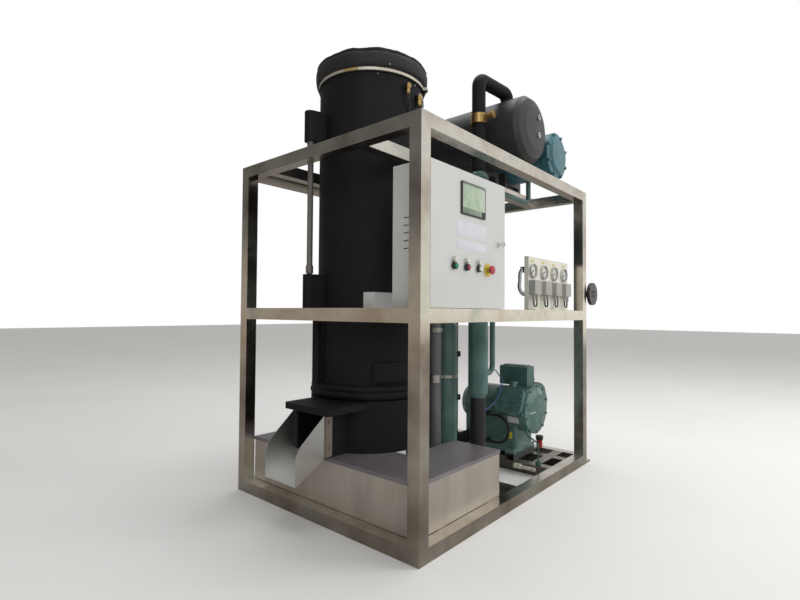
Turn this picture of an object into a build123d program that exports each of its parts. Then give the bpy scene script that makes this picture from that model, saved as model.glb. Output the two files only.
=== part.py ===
from build123d import *
import math
import os

# Tube ice machine: a welded stainless tube frame that carries a vertical
# evaporator, its ice cutter and chute, a water tank, a refrigeration set
# and a control cabinet. Millimetres, +Z up. The origin is at the centre of
# the frame's footprint, on the floor, under the middle base bearer.
# -Y is the front with the cabinet, -X is the side with the ice chute.

os.makedirs("parts", exist_ok=True)

# Frame, square tube
frame_width = 1754
frame_depth = 1264
frame_height = 1768
tube = 60
tube_wall = 2
mid_rail_bottom = 931
front_crossbeam_gap = 29
back_crossbeam_gap = 24
left_bearer_x = -640
running_gap = 0.05
fit_gap = 0.3

# Water tank under the evaporator, L-shaped in plan
tank_right = -150
tank_front_arm_depth = 340
tank_side_arm_right = -530
tank_height = 225
tank_sheet = 2
cover_sheet = 3
cover_lip = 14

# Evaporator
evaporator_x = -418
evaporator_y = 83
shell_radius = 283
shell_wall = 28
shell_top = 2195
ice_tube_radius = 19
ice_tube_wall = 2
ice_tube_pitch = 95
tube_sheet_thickness = 16
roll_height = 76
roll_thickness = 39
lid_overhang = 23
lid_height = 82
band_width = 20
band_thickness = 8

# Cutter drum under the evaporator, and its outlet
drum_step = 31
drum_wall = 34
drum_height = 250
drum_leg_spread = 143
drum_floor = 14
rotor_thickness = 12
rotor_edge_gap = 8
rotor_height = 34
shaft_radius = 25
blade_gap = 12
duct_near = -45
duct_far = 184
duct_wall = 18
duct_mouth_x = -835
duct_height = 216
slab_thickness = 30

# Chute
chute_reach = 175
chute_drop = 96
chute_sheet = 3
chute_lip_height = 150
chute_corner_radius = 90
flange_width = 34

# Control cabinet
cabinet_left = -815
cabinet_width = 598
cabinet_height = 598
cabinet_depth = 200
cabinet_sheet = 2
door_thickness = 18
door_gap = 0.5
screen_width = 197
screen_height = 144
button_row_z = 1170
button_places = {"start_button": -655, "stop_button": -560, "reset_button": -461}
button_radius = 11
button_travel = 4
estop_x = -379
estop_radius = 20
estop_travel = 6
lock_x = -278
lock_z = 1299

# Vessels on the roof and at the front. An overhang is past the crossbeam, a setback is behind the front face
separator_x = 212
separator_z = 2015
separator_radius = 187
separator_front_overhang = 341
separator_back_overhang = 100
condenser_x = 535
condenser_z = 1940
condenser_radius = 127
condenser_front_overhang = 301
condenser_back_overhang = 140
slim_vessel_x = -64
slim_vessel_setback = 243
slim_vessel_radius = 53
slim_vessel_bottom = 520
slim_vessel_top = 1746
suction_pipe_radius = 37
suction_pipe_top = 2256
arch_skew = 23
receiver_x = -85
receiver_setback = 434
receiver_radius = 59
receiver_top = 930
plug_heights = (500, 742)
riser_angle = -58.6
riser_gap = 7
riser_radius = 32

# Compressor
compressor_x = 560
compressor_z = 371
compressor_setback = 212
compressor_length = 475
compressor_radius = 150
compressor_bearer_spread = 110
compressor_tie_setbacks = (162, 337)
foot_height = 40
head_angle = 22
wiring_box_width = 98
wiring_box_length = 193
wiring_box_setback = 27
wiring_box_rise = 114

# Gauge panel
panel_left = 157
panel_right = 706
panel_height = 299
gauge_first_x = 205
gauge_pitch = 143
gauge_count = 4
gauge_radius = 39
gauge_z = 1210

half_width = frame_width / 2
half_depth = frame_depth / 2
inner_x = half_width - tube
inner_y = half_depth - tube
mid_rail_top = mid_rail_bottom + tube
roof = frame_height
front_face = -half_depth
evaporator_centre = (evaporator_x, evaporator_y)


def block(x, y, z):
    """A plain block between two limits on each axis."""
    size = (x[1] - x[0], y[1] - y[0], z[1] - z[0])
    centre = ((x[0] + x[1]) / 2, (y[0] + y[1]) / 2, (z[0] + z[1]) / 2)
    return Pos(*centre) * Box(*size)


def upright(radius, low, high, centre):
    """A vertical round bar."""
    return Pos(centre[0], centre[1], (low + high) / 2) * Cylinder(radius, high - low)


def along_y(radius, front, back, x, z):
    """A round bar that lies along Y."""
    return Pos(x, (front + back) / 2, z) * Rot(90, 0, 0) * Cylinder(radius, back - front)


def along_x(radius, left, right, y, z):
    """A round bar that lies along X."""
    return Pos((left + right) / 2, y, z) * Rot(0, 90, 0) * Cylinder(radius, right - left)


def around(angle, reach, centre=evaporator_centre):
    """The place at an angle and a distance from a vertical axis."""
    turn = math.radians(angle)
    return (centre[0] + reach * math.cos(turn), centre[1] + reach * math.sin(turn))


def turned(points, centre):
    """A round body from its half outline, given as radius and height pairs."""
    outline = Polyline(*[(r, 0, z) for r, z in points], close=True)
    return Pos(centre[0], centre[1], 0) * revolve(make_face(outline), Axis.Z)


def lying(points, x, z):
    """A round body along Y from its half outline, given as radius and Y pairs."""
    outline = Polyline(*[(r, y, 0) for r, y in points], close=True)
    return Pos(x, 0, z) * revolve(make_face(outline), Axis.Y)


def bar_x(left, right, y, z):
    """A square tube along X, open at both ends, centred on y and z."""
    outer = block((left, right), (y - tube / 2, y + tube / 2), (z - tube / 2, z + tube / 2))
    bore = tube / 2 - tube_wall
    return outer - block((left - 1, right + 1), (y - bore, y + bore), (z - bore, z + bore))


def bar_y(front, back, x, z):
    """A square tube along Y, open at both ends, centred on x and z."""
    outer = block((x - tube / 2, x + tube / 2), (front, back), (z - tube / 2, z + tube / 2))
    bore = tube / 2 - tube_wall
    return outer - block((x - bore, x + bore), (front - 1, back + 1), (z - bore, z + bore))


def pipe(points, radius, bend_radius):
    """A round pipe along straight runs in one plane, joined by bends."""
    line = FilletPolyline(*points, radius=bend_radius)
    return sweep(Plane(origin=line @ 0, z_dir=line % 0) * Circle(radius), path=line)


def bolt_y(radius, front, back, x, z):
    """A hexagon bolt head that stands along Y."""
    return Pos(x, back, z) * Rot(90, 0, 0) * extrude(RegularPolygon(radius, 6), back - front)


def save(name, *solids):
    """Write one named piece, or a group of like pieces, to its own file."""
    shape = solids[0] if len(solids) == 1 else Compound(children=list(solids))
    export_step(shape, f"parts/{name}.step")


# Places that follow from the dimensions
front_crossbeam_y = evaporator_y - shell_radius - front_crossbeam_gap - tube / 2
back_crossbeam_y = evaporator_y + shell_radius + back_crossbeam_gap + tube / 2
roll_radius = shell_radius + roll_thickness
lid_radius = shell_radius + lid_overhang
drum_radius = shell_radius + drum_step
riser_x, riser_y = around(riser_angle, roll_radius + riser_gap + riser_radius)
slim_vessel_y = front_face + slim_vessel_setback
receiver_y = front_face + receiver_setback
compressor_front = front_face + compressor_setback
tank_front_arm_back = front_face + tank_front_arm_depth
bearer_centres = (left_bearer_x, riser_x, 0,
                  compressor_x - compressor_bearer_spread, compressor_x + compressor_bearer_spread)

# Frame: four posts, capped at the top, with three rings of rails between them
bore_half = tube / 2 - tube_wall
posts = []
for x in (-half_width + tube / 2, half_width - tube / 2):
    for y in (-half_depth + tube / 2, half_depth - tube / 2):
        post = block((x - tube / 2, x + tube / 2), (y - tube / 2, y + tube / 2), (0, roof))
        post -= block((x - bore_half, x + bore_half), (y - bore_half, y + bore_half),
                      (-1, roof - tube_wall))
        posts.append(post)
save("frame_posts", *posts)

rail_levels = {"base": tube / 2, "mid": mid_rail_bottom + tube / 2, "top": roof - tube / 2}
for level, z in rail_levels.items():
    save(f"{level}_rails",
         bar_x(-inner_x, inner_x, -half_depth + tube / 2, z),
         bar_x(-inner_x, inner_x, half_depth - tube / 2, z),
         bar_y(-inner_y, inner_y, -half_width + tube / 2, z),
         bar_y(-inner_y, inner_y, half_width - tube / 2, z))

save("roof_crossbeams",
     bar_x(-inner_x, inner_x, front_crossbeam_y, rail_levels["top"]),
     bar_x(-inner_x, inner_x, back_crossbeam_y, rail_levels["top"]))

# Base bearers along Y, with short ties under the pump, the receiver, the slim vessel and the compressor
bearers = [bar_y(-inner_y, inner_y, x, rail_levels["base"]) for x in bearer_centres]
tie_rows = [
    (bearer_centres[0], bearer_centres[1], riser_y),
    (bearer_centres[1], bearer_centres[2], slim_vessel_y),
    (bearer_centres[1], bearer_centres[2], receiver_y),
]
for setback in compressor_tie_setbacks:
    y = front_face + setback
    tie_rows.append((bearer_centres[3], bearer_centres[4], y))
    tie_rows.append((bearer_centres[4], half_width - tube / 2, y))
ties = [bar_x(left + tube / 2, right - tube / 2, y, rail_levels["base"]) for left, right, y in tie_rows]
save("base_bearers", *bearers, *ties)

# Anchor lug welded to the foot of the front right post
lug_length = 60
lug_hole = 9
lug_thickness = 12
lug_y = front_face + tube / 2
anchor = block((half_width, half_width + lug_length), (lug_y - tube / 2, lug_y + tube / 2),
               (0, lug_thickness))
anchor -= upright(lug_hole, -1, lug_thickness + 1, (half_width + lug_length / 2, lug_y))
save("anchor_lug", anchor)

# Water tank: folded sheet, open at the top, and its lipped cover plate
tank_left = -inner_x
tank_front = -inner_y
tank_back = inner_y


def tank_outline(inset):
    """The L-shaped plan of the tank, pulled in by an even amount."""
    return make_face(Polyline(
        (tank_left + inset, tank_front + inset),
        (tank_right - inset, tank_front + inset),
        (tank_right - inset, tank_front_arm_back - inset),
        (tank_side_arm_right - inset, tank_front_arm_back - inset),
        (tank_side_arm_right - inset, tank_back - inset),
        (tank_left + inset, tank_back - inset),
        close=True))


tank_bottom = tube
tank_top = tank_bottom + tank_height
lip_room = cover_sheet + fit_gap
tank = Pos(0, 0, tank_bottom) * extrude(tank_outline(lip_room), tank_height)
tank -= Pos(0, 0, tank_bottom + tank_sheet) * extrude(tank_outline(lip_room + tank_sheet), tank_height)
save("water_tank", tank)
cover_top = tank_top + cover_sheet
cover = Pos(0, 0, tank_top - cover_lip) * extrude(tank_outline(0), cover_lip + cover_sheet)
cover -= Pos(0, 0, tank_top - cover_lip - 1) * extrude(tank_outline(cover_sheet), cover_lip + 1)
save("tank_cover", cover)

# Cutter drum: foam-covered steel drum, open to the evaporator above and to the outlet duct.
# It is built up from a floor pan, a wall that is cut through at the mouth, a closed wall over
# the mouth and the ring that carries the evaporator
drum_bottom = cover_top
drum_top = drum_bottom + drum_height
drum_inner = drum_radius - drum_wall
duct_bottom = drum_bottom
duct_top = duct_bottom + duct_height
mouth_y = (duct_near + duct_wall, duct_far - duct_wall)
mouth_z = (duct_bottom + duct_wall, duct_top - duct_wall)
throat_radius = shell_radius - shell_wall
drum = upright(drum_radius, drum_bottom, drum_top, evaporator_centre)
drum -= upright(drum_inner, drum_bottom + drum_floor, drum_top - drum_floor, evaporator_centre)
drum -= upright(throat_radius, drum_bottom + drum_floor, drum_top + 1, evaporator_centre)
drum -= upright(shaft_radius + running_gap, drum_bottom - 1, drum_top, evaporator_centre)
drum -= block((duct_mouth_x, evaporator_x - drum_inner / 2), mouth_y, mouth_z)
drum_levels = (drum_bottom, mouth_z[0], mouth_z[1], drum_top - drum_floor, drum_top)
drum_courses = []
for low, high in zip(drum_levels, drum_levels[1:]):
    course = upright(drum_radius + 1, low, high, evaporator_centre) & drum
    drum_courses.append(course.solid())
save("cutter_drum", *drum_courses)

# Foam-covered outlet duct, with the thick foam slab laid over it
duct = block((duct_mouth_x, evaporator_x - drum_inner / 2), (duct_near, duct_far), (duct_bottom, duct_top))
duct -= block((duct_mouth_x - 1, evaporator_x), mouth_y, mouth_z)
duct -= upright(drum_radius + fit_gap, drum_bottom - 1, drum_top + 1, evaporator_centre)
slab_x = (duct_mouth_x - 68, evaporator_x - drum_inner / 2)
slab = block(slab_x, (duct_near - 88, duct_far + 4), (duct_top, duct_top + slab_thickness))
slab -= upright(drum_radius + fit_gap, drum_bottom, drum_top + slab_thickness, evaporator_centre)
slab_corners = slab.edges().filter_by(Axis.Z).group_by(Axis.X)[0]
slab = fillet(slab_corners, 14)
save("outlet_duct", duct, slab)

# Right-hand legs that carry the drum where the tank does not reach under it
leg_half = 20
leg_x = bearer_centres[1]
leg_places = [(leg_x, evaporator_y - drum_leg_spread), (leg_x, evaporator_y + drum_leg_spread)]
save("drum_legs", *[block((x - leg_half, x + leg_half), (y - leg_half, y + leg_half), (tube, drum_bottom))
                    for x, y in leg_places])

# Cutter rotor: shaft, slotted carrier disc and two blades under the ice tubes
motor_bottom = 92
motor_top = drum_bottom
rotor_bottom = drum_bottom + rotor_height
blade_top = drum_top - drum_floor
rotor_radius = drum_inner - rotor_edge_gap
shaft_end = motor_bottom + 60
rotor = upright(shaft_radius, shaft_end, blade_top, evaporator_centre)
disc = upright(rotor_radius, rotor_bottom, rotor_bottom + rotor_thickness, evaporator_centre)
for turn in range(0, 360, 60):
    slot = Rot(0, 0, turn) * Pos(rotor_radius * 0.55, 0, 0) * Box(rotor_radius * 0.5, 46, 60)
    disc -= Pos(evaporator_x, evaporator_y, rotor_bottom) * slot
rotor += disc
for turn in (30, 210):
    blade = Pos(throat_radius / 2, 0, 0) * Box(throat_radius - blade_gap, 10, 46)
    rotor += Pos(evaporator_x, evaporator_y, blade_top - 23) * Rot(0, 0, turn) * blade
for turn in (120, 300):
    paddle = Pos(rotor_radius / 2, 0, 0) * Box(rotor_radius - blade_gap, 8, 70)
    rotor += Pos(evaporator_x, evaporator_y, rotor_bottom + rotor_thickness + 35) * Rot(0, 0, turn) * paddle
save("cutter_rotor", rotor)

# Gear motor that hangs under the drum and turns the rotor's shaft
gearmotor = upright(78, motor_top - 60, motor_top, evaporator_centre)
gearmotor += upright(98, motor_top - 12, motor_top, evaporator_centre)
gearmotor += upright(66, motor_bottom, motor_top - 60, evaporator_centre)
gearmotor += block((evaporator_x, evaporator_x + 170), (evaporator_y - 48, evaporator_y + 48),
                   (motor_bottom + 10, motor_bottom + 106))
gearmotor -= upright(shaft_radius + running_gap, shaft_end - 2, motor_top + 1, evaporator_centre)
save("gear_motor", gearmotor)

# Evaporator: foam-covered shell with the ice tubes and their two sheets inside
shell = upright(shell_radius, drum_top, shell_top, evaporator_centre)
shell -= upright(throat_radius, drum_top - 1, shell_top + 1, evaporator_centre)
save("evaporator_shell", shell)

low_sheet = drum_top + 12
high_sheet = shell_top - 90
tube_spots = [(0, 0)]
for ring in (1, 2):
    for corner in range(6):
        here = math.radians(60 * corner)
        there = math.radians(60 * corner + 60)
        for step in range(ring):
            part = step / ring
            reach = ring * ice_tube_pitch
            tube_spots.append((
                reach * ((1 - part) * math.cos(here) + part * math.cos(there)),
                reach * ((1 - part) * math.sin(here) + part * math.sin(there))))
sheet_radius = throat_radius - fit_gap
bundle = upright(sheet_radius, low_sheet, low_sheet + tube_sheet_thickness, evaporator_centre)
bundle += upright(sheet_radius, high_sheet, high_sheet + tube_sheet_thickness, evaporator_centre)
for dx, dy in tube_spots:
    spot = (evaporator_x + dx, evaporator_y + dy)
    bundle += upright(ice_tube_radius, low_sheet, high_sheet + tube_sheet_thickness, spot)
for dx, dy in tube_spots:
    spot = (evaporator_x + dx, evaporator_y + dy)
    bundle -= upright(ice_tube_radius - ice_tube_wall, low_sheet - 1,
                      high_sheet + tube_sheet_thickness + 1, spot)
save("ice_tube_bundle", bundle)

# Foam roll round the foot of the shell: two soft turns with a crease between them
roll_inner = shell_radius + fit_gap
crease = drum_top + roll_height * 0.6
roll = turned([
    (roll_inner, drum_top), (roll_radius - 16, drum_top), (roll_radius - 4, drum_top + 10),
    (roll_radius, drum_top + 24), (roll_radius - 3, crease - 6), (roll_radius - 10, crease),
    (roll_radius - 4, crease + 6), (roll_radius - 5, drum_top + roll_height - 14),
    (roll_radius - 16, drum_top + roll_height - 6), (roll_inner, drum_top + roll_height),
], evaporator_centre)

# Foam pad over the hand hole, wrapped on the shell above the roll
pad_bottom = drum_top + roll_height + 4
pad_height = 110
pad_angle = 246
pad_half_angle = 20
pad_radius = shell_radius + 17
pad = upright(pad_radius, pad_bottom, pad_bottom + pad_height, evaporator_centre)
pad -= upright(shell_radius + fit_gap, pad_bottom - 1, pad_bottom + pad_height + 1, evaporator_centre)
wedge_reach = pad_radius * 1.5
wedge = Polyline((0, 0),
                 (wedge_reach * math.cos(math.radians(pad_angle - pad_half_angle)),
                  wedge_reach * math.sin(math.radians(pad_angle - pad_half_angle))),
                 (wedge_reach * math.cos(math.radians(pad_angle + pad_half_angle)),
                  wedge_reach * math.sin(math.radians(pad_angle + pad_half_angle))),
                 close=True)
pad &= Pos(evaporator_x, evaporator_y, pad_bottom) * extrude(make_face(wedge), pad_height)
save("foam_wraps", roll, pad)

# Lid: foam-covered water box cover, soft at its rim and sunk a little in the middle
lid_top = shell_top + lid_height
lid = turned([
    (0, shell_top + 30), (throat_radius, shell_top + 30), (throat_radius, shell_top),
    (shell_radius, shell_top), (lid_radius - 6, shell_top + 8), (lid_radius, shell_top + 22),
    (lid_radius - 2, lid_top - 16), (lid_radius - 12, lid_top - 4), (lid_radius - 34, lid_top),
    (lid_radius - 60, lid_top - 7), (0, lid_top - 9),
], evaporator_centre)
save("evaporator_lid", lid)

# Clamp band round the top of the shell, with its two bolted lugs
band_inner = shell_radius + fit_gap
band_lug_angle = 300
band = upright(shell_radius + band_thickness, shell_top - band_width, shell_top, evaporator_centre)
band -= upright(band_inner, shell_top - band_width - 1, shell_top + 1, evaporator_centre)
lug = Pos(shell_radius + band_thickness + 9, 0, shell_top - band_width / 2)
for offset in (-9, 9):
    ear = lug * Pos(0, offset, 0) * Box(24, 5, band_width)
    band += Pos(evaporator_x, evaporator_y, 0) * Rot(0, 0, band_lug_angle) * ear
save("clamp_band", band)

# Two brass probe fittings near the top of the shell
probe_seats = ((262, shell_top - 65), (282, shell_top - 90))
probes = []
for angle, z in probe_seats:
    fitting = Rot(0, 90, 0) * Cylinder(9, 26)
    fitting += Pos(4, 0, 0) * Rot(0, 90, 0) * extrude(RegularPolygon(15, 6), 9)
    place = around(angle, shell_radius + 13 + fit_gap)
    probes.append(Pos(place[0], place[1], z) * Rot(0, 0, angle) * fitting)

# Level column: two foam-wrapped branches, a braided hose between them and a drop pipe
level_angle = 162.5
level_reach = shell_radius + 72
branch_thickness = 66
hose_radius = 15
low_branch = (mid_rail_top - 6, 1164)
high_branch = (1850, 2004)
branch_length = 110


def branch(low, high):
    """A rounded, foam-wrapped branch from the shell out to the level column."""
    plate = Box(branch_length, branch_thickness, high - low)
    plate = fillet(plate.edges().filter_by(Axis.Z).group_by(Axis.X)[-1], branch_thickness / 2 - 2)
    middle = around(level_angle, level_reach - branch_length / 2 + branch_thickness / 2)
    plate = Pos(middle[0], middle[1], (low + high) / 2) * Rot(0, 0, level_angle) * plate
    return plate - upright(shell_radius + fit_gap, low - 1, high + 1, evaporator_centre)


level_centre = around(level_angle, level_reach)
drop_centre = around(level_angle, shell_radius + 28)
hose = upright(hose_radius, low_branch[1] + 46, high_branch[0] - 30, level_centre)
ferrules = upright(hose_radius + 4, low_branch[1] + 6, low_branch[1] + 46, level_centre)
ferrules += upright(hose_radius - 2, low_branch[1], low_branch[1] + 6, level_centre)
top_ferrule = upright(hose_radius + 4, high_branch[0] - 30, high_branch[0], level_centre)
save("level_hose", hose, ferrules, top_ferrule)
drop = upright(22, drum_top + roll_height, low_branch[0], drop_centre)
save("level_branches", branch(*low_branch), branch(*high_branch), drop)

# Chute: bent sheet trough, and the bolted flange strips that hold it to the duct
chute_floor = duct_bottom + 7
chute_tip_x = duct_mouth_x - chute_reach
chute_tip_z = chute_floor - chute_drop
side_face = Plane.XZ * make_face(Polyline(
    (duct_mouth_x, chute_floor), (chute_tip_x, chute_tip_z),
    (chute_tip_x, chute_tip_z + chute_lip_height), (duct_mouth_x, duct_top - 2), close=True))
trough = Pos(0, duct_far, 0) * extrude(side_face, duct_far - duct_near)
lip_edge = trough.edges().filter_by(Axis.Y).group_by(Axis.X)[0].sort_by(Axis.Z)[-1]
trough = fillet(lip_edge, chute_corner_radius)
floor_slope = chute_drop / chute_reach
hollow_lift = chute_sheet * math.sqrt(1 + floor_slope ** 2)
hollow_face = Plane.XZ * make_face(Polyline(
    (duct_mouth_x + 1, chute_floor + hollow_lift + floor_slope),
    (chute_tip_x - 1, chute_tip_z + hollow_lift - floor_slope),
    (chute_tip_x - 1, duct_top + 40), (duct_mouth_x + 1, duct_top + 40), close=True))
trough -= Pos(0, duct_far - chute_sheet, 0) * extrude(hollow_face, duct_far - duct_near - 2 * chute_sheet)

strips = []
for y, outward in ((duct_near, -1), (duct_far, 1)):
    edge = (y - 3, y) if outward < 0 else (y, y + 3)
    strip = block((duct_mouth_x - 4, duct_mouth_x + flange_width), edge, (chute_floor, duct_top - 6))
    for z in (chute_floor + 45, duct_top - 50):
        seat = sorted((y + 3 * outward, y + 9 * outward))
        strip += bolt_y(8, seat[0], seat[1], duct_mouth_x + flange_width / 2, z)
    strips.append(strip)
save("chute", trough, *strips)

# Terminal box on the inside of the left mid rail
terminal_box_width = 157
terminal_box_length = 68
terminal_box_front = front_face + 304
terminal_box = block((-inner_x, -inner_x + terminal_box_width),
                     (terminal_box_front, terminal_box_front + terminal_box_length),
                     (mid_rail_top - 40, mid_rail_top + 70))
save("terminal_box", fillet(terminal_box.edges().filter_by(Axis.Z), 5))

# Control cabinet: open-fronted sheet box with a rim, louvres in its left wall
cabinet_right = cabinet_left + cabinet_width
cabinet_bottom = mid_rail_top
cabinet_top = cabinet_bottom + cabinet_height
cabinet_front = front_face
shell_front = cabinet_front + door_thickness + door_gap
cabinet_back = cabinet_front + cabinet_depth
rim = 16
cabinet = block((cabinet_left, cabinet_right), (shell_front, cabinet_back), (cabinet_bottom, cabinet_top))
cabinet -= block((cabinet_left + cabinet_sheet, cabinet_right - cabinet_sheet),
                 (shell_front + cabinet_sheet, cabinet_back - cabinet_sheet),
                 (cabinet_bottom + cabinet_sheet, cabinet_top - cabinet_sheet))
cabinet -= block((cabinet_left + rim, cabinet_right - rim), (shell_front - 1, shell_front + rim),
                 (cabinet_bottom + rim, cabinet_top - rim))
louvre_count = 5
louvre_pitch = 32
louvre_front = cabinet_front + 112
louvre_length = 28
for row in range(louvre_count):
    z = cabinet_top - 224 - row * louvre_pitch
    cabinet -= block((cabinet_left - 1, cabinet_left + cabinet_sheet + 1),
                     (louvre_front, louvre_front + louvre_length), (z - 2, z + 2))
save("cabinet_shell", cabinet)

# Mounting plate in the cabinet, on four standoffs, with its rows of switchgear
plate_front = cabinet_back - 30
plate = block((cabinet_left + 34, cabinet_right - 34), (plate_front - 3, plate_front),
              (cabinet_bottom + 34, cabinet_top - 34))
for x in (cabinet_left + 60, cabinet_right - 60):
    for z in (cabinet_bottom + 60, cabinet_top - 60):
        plate += along_y(7, plate_front, cabinet_back - cabinet_sheet, x, z)
gear_rows = (
    (420, 90, 70, ((70, 90), (175, 120), (310, 54), (378, 54), (446, 54))),
    (270, 84, 86, ((70, 60), (140, 60), (210, 60), (290, 45), (345, 45), (400, 45))),
    (90, 60, 46, ((70, 420),)),
)
switchgear = [plate]
for rise, height, depth, row in gear_rows:
    low = cabinet_bottom + rise
    for offset, width in row:
        left = cabinet_left + offset
        switchgear.append(block((left, left + width), (plate_front - 3 - depth, plate_front - 3),
                                (low, low + height)))
save("switchgear", *switchgear)

# Cabinet door: flat panel with folded edges, the screen's cut-out and the lock barrel
door_back = cabinet_front + door_thickness
screen_centre = (-504.5, 1470)
door = block((cabinet_left, cabinet_right), (cabinet_front, door_back), (cabinet_bottom + 2, cabinet_top))
door -= block((cabinet_left + 2, cabinet_right - 2), (cabinet_front + 2, door_back + 1),
              (cabinet_bottom + 4, cabinet_top - 2))
screen_lap = 6
cut_half_width = screen_width / 2 - screen_lap
cut_half_height = screen_height / 2 - screen_lap
door -= block((screen_centre[0] - cut_half_width, screen_centre[0] + cut_half_width),
              (cabinet_front - 1, door_back),
              (screen_centre[1] - cut_half_height, screen_centre[1] + cut_half_height))
lock_radius = 12
key_slot = 4
lock = along_y(lock_radius, cabinet_front - 7, cabinet_front + 16, lock_x, lock_z)
door += lock
door -= along_y(key_slot + running_gap, cabinet_front - 8, cabinet_front + 6, lock_x, lock_z)
save("cabinet_door", door)

# Door key, standing in the lock, with its bow
key = along_y(key_slot, cabinet_front - 16, cabinet_front + 5, lock_x, lock_z)
bow = along_y(11, -1.5, 1.5, 0, 0)
bow -= along_y(4.5, -2, 2, 0, 0)
key += Pos(lock_x, cabinet_front - 26, lock_z) * Rot(0, 0, 90) * bow
save("door_key", key)

# Touch screen in the door
screen = block((screen_centre[0] - screen_width / 2, screen_centre[0] + screen_width / 2),
               (cabinet_front - 6, cabinet_front),
               (screen_centre[1] - screen_height / 2, screen_centre[1] + screen_height / 2))
screen = fillet(screen.edges().filter_by(Axis.Y), 5)
body_half_width = screen_width / 2 - screen_lap - fit_gap
body_half_height = screen_height / 2 - screen_lap - fit_gap
screen += block((screen_centre[0] - body_half_width, screen_centre[0] + body_half_width),
                (cabinet_front, cabinet_front + 34),
                (screen_centre[1] - body_half_height, screen_centre[1] + body_half_height))
save("touch_screen", screen)

# Push-button barrels on the door, each with its small round lamp, and the stop button's plate
barrel_depth = 14
barrel_radius = 15
lamp_radius = 13
lamp_lens_radius = 10
stem_clearance = 0.3
barrels = []
for x in button_places.values():
    barrel = along_y(barrel_radius, cabinet_front - barrel_depth, cabinet_front, x, button_row_z)
    barrel -= along_y(button_radius + stem_clearance, cabinet_front - barrel_depth - 1,
                      cabinet_front - 1, x, button_row_z)
    lamp_z = button_row_z + barrel_radius + lamp_radius
    barrel += along_y(lamp_radius, cabinet_front - 9, cabinet_front, x, lamp_z)
    barrel += along_y(lamp_lens_radius, cabinet_front - 15, cabinet_front - 9, x, lamp_z)
    barrels.append(barrel)
estop_stem = 9
estop_collar = 12
estop_plate_radius = 30
collar = along_y(estop_plate_radius, cabinet_front - 3, cabinet_front, estop_x, button_row_z)
collar += along_y(barrel_radius, cabinet_front - 3 - estop_collar, cabinet_front - 3, estop_x, button_row_z)
collar -= along_y(estop_stem + stem_clearance, cabinet_front - 4 - estop_collar, cabinet_front - 1,
                  estop_x, button_row_z)
barrels.append(collar)
save("button_barrels", *barrels)

for name, x in button_places.items():
    cap_front = cabinet_front - barrel_depth - button_travel - 2
    cap = along_y(button_radius, cap_front, cabinet_front - 1 - button_travel - 1, x, button_row_z)
    save(name, chamfer(cap.edges().group_by(Axis.Y)[0], 1.5))

estop_face = cabinet_front - 3 - estop_collar - estop_travel - 0.5
mushroom = along_y(estop_radius, estop_face - 13, estop_face, estop_x, button_row_z)
mushroom = chamfer(mushroom.edges().group_by(Axis.Y)[0], 5, 8)
mushroom += along_y(estop_stem, estop_face, cabinet_front - 1 - estop_travel - 1, estop_x, button_row_z)
save("emergency_stop", mushroom)

# Suction separator: long foam-wrapped vessel on the roof, with domed ends
separator_front = front_crossbeam_y - separator_front_overhang
separator_back = back_crossbeam_y + separator_back_overhang
suction_drop_y = slim_vessel_y - arch_skew
dome_depth = 52
separator = lying([
    (0, separator_front), (separator_radius - 70, separator_front + 8),
    (separator_radius - 22, separator_front + 26), (separator_radius, separator_front + dome_depth),
    (separator_radius, separator_back - dome_depth), (separator_radius - 22, separator_back - 26),
    (separator_radius - 70, separator_back - 8), (0, separator_back),
], separator_x, separator_z)
separator += upright(suction_pipe_radius + 3, separator_z, separator_z + separator_radius + 6,
                     (separator_x, suction_drop_y))
save("suction_separator", separator)

sight_glasses = []
for x, z in ((separator_x + 24, separator_z + 66), (separator_x + 24, separator_z - 34)):
    glass = along_y(16, separator_front - 4, separator_front + 12, x, z)
    glass -= along_y(9, separator_front - 5, separator_front - 1, x, z)
    glass -= lying([(0, separator_front), (separator_radius - 70, separator_front + 8),
                    (separator_radius - 22, separator_front + 26),
                    (separator_radius - 22, separator_front + 60), (0, separator_front + 60)],
                   separator_x, separator_z)
    sight_glasses.append(glass)
save("sight_glasses", *sight_glasses)

# Condenser: shell and two bolted covers
condenser_front = front_crossbeam_y - condenser_front_overhang
condenser_back = back_crossbeam_y + condenser_back_overhang
condenser = along_y(condenser_radius, condenser_front, condenser_back, condenser_x, condenser_z)
for y in (condenser_front, condenser_back - 24):
    condenser += along_y(condenser_radius + 12, y, y + 24, condenser_x, condenser_z)
save("condenser_shell", condenser)
covers = []
for face, outward in ((condenser_front, -1), (condenser_back, 1)):
    cap = lying([(0, face), (condenser_radius + 12, face), (condenser_radius + 12, face + 16 * outward),
                 (condenser_radius - 10, face + 20 * outward), (condenser_radius - 30, face + 34 * outward),
                 (0, face + 38 * outward)], condenser_x, condenser_z)
    for turn in range(0, 360, 45):
        spot = math.radians(turn + 22.5)
        x = condenser_x + (condenser_radius + 1) * math.cos(spot)
        z = condenser_z + (condenser_radius + 1) * math.sin(spot)
        ends = sorted((face + 14 * outward, face + 28 * outward))
        cap += bolt_y(10, ends[0], ends[1], x, z)
    covers.append(cap)
save("condenser_covers", *covers)

# Saddles that carry both roof vessels on the two crossbeams
saddle_thickness = 44
saddles = []
for x, z, radius, half in ((separator_x, separator_z, separator_radius, 130),
                           (condenser_x, condenser_z, condenser_radius, 105)):
    for y in (front_crossbeam_y, back_crossbeam_y):
        rise = z - math.sqrt(radius ** 2 - half ** 2) if radius > half else z
        saddle = block((x - half, x + half), (y - saddle_thickness / 2, y + saddle_thickness / 2),
                       (roof, rise))
        saddle -= along_y(radius + fit_gap, y - saddle_thickness, y + saddle_thickness, x, z)
        saddle -= block((x - half + 30, x + half - 30), (y - saddle_thickness, y + saddle_thickness),
                        (roof + 8, z - radius - 14))
        saddles.append(saddle)
save("vessel_saddles", *saddles)

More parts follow.
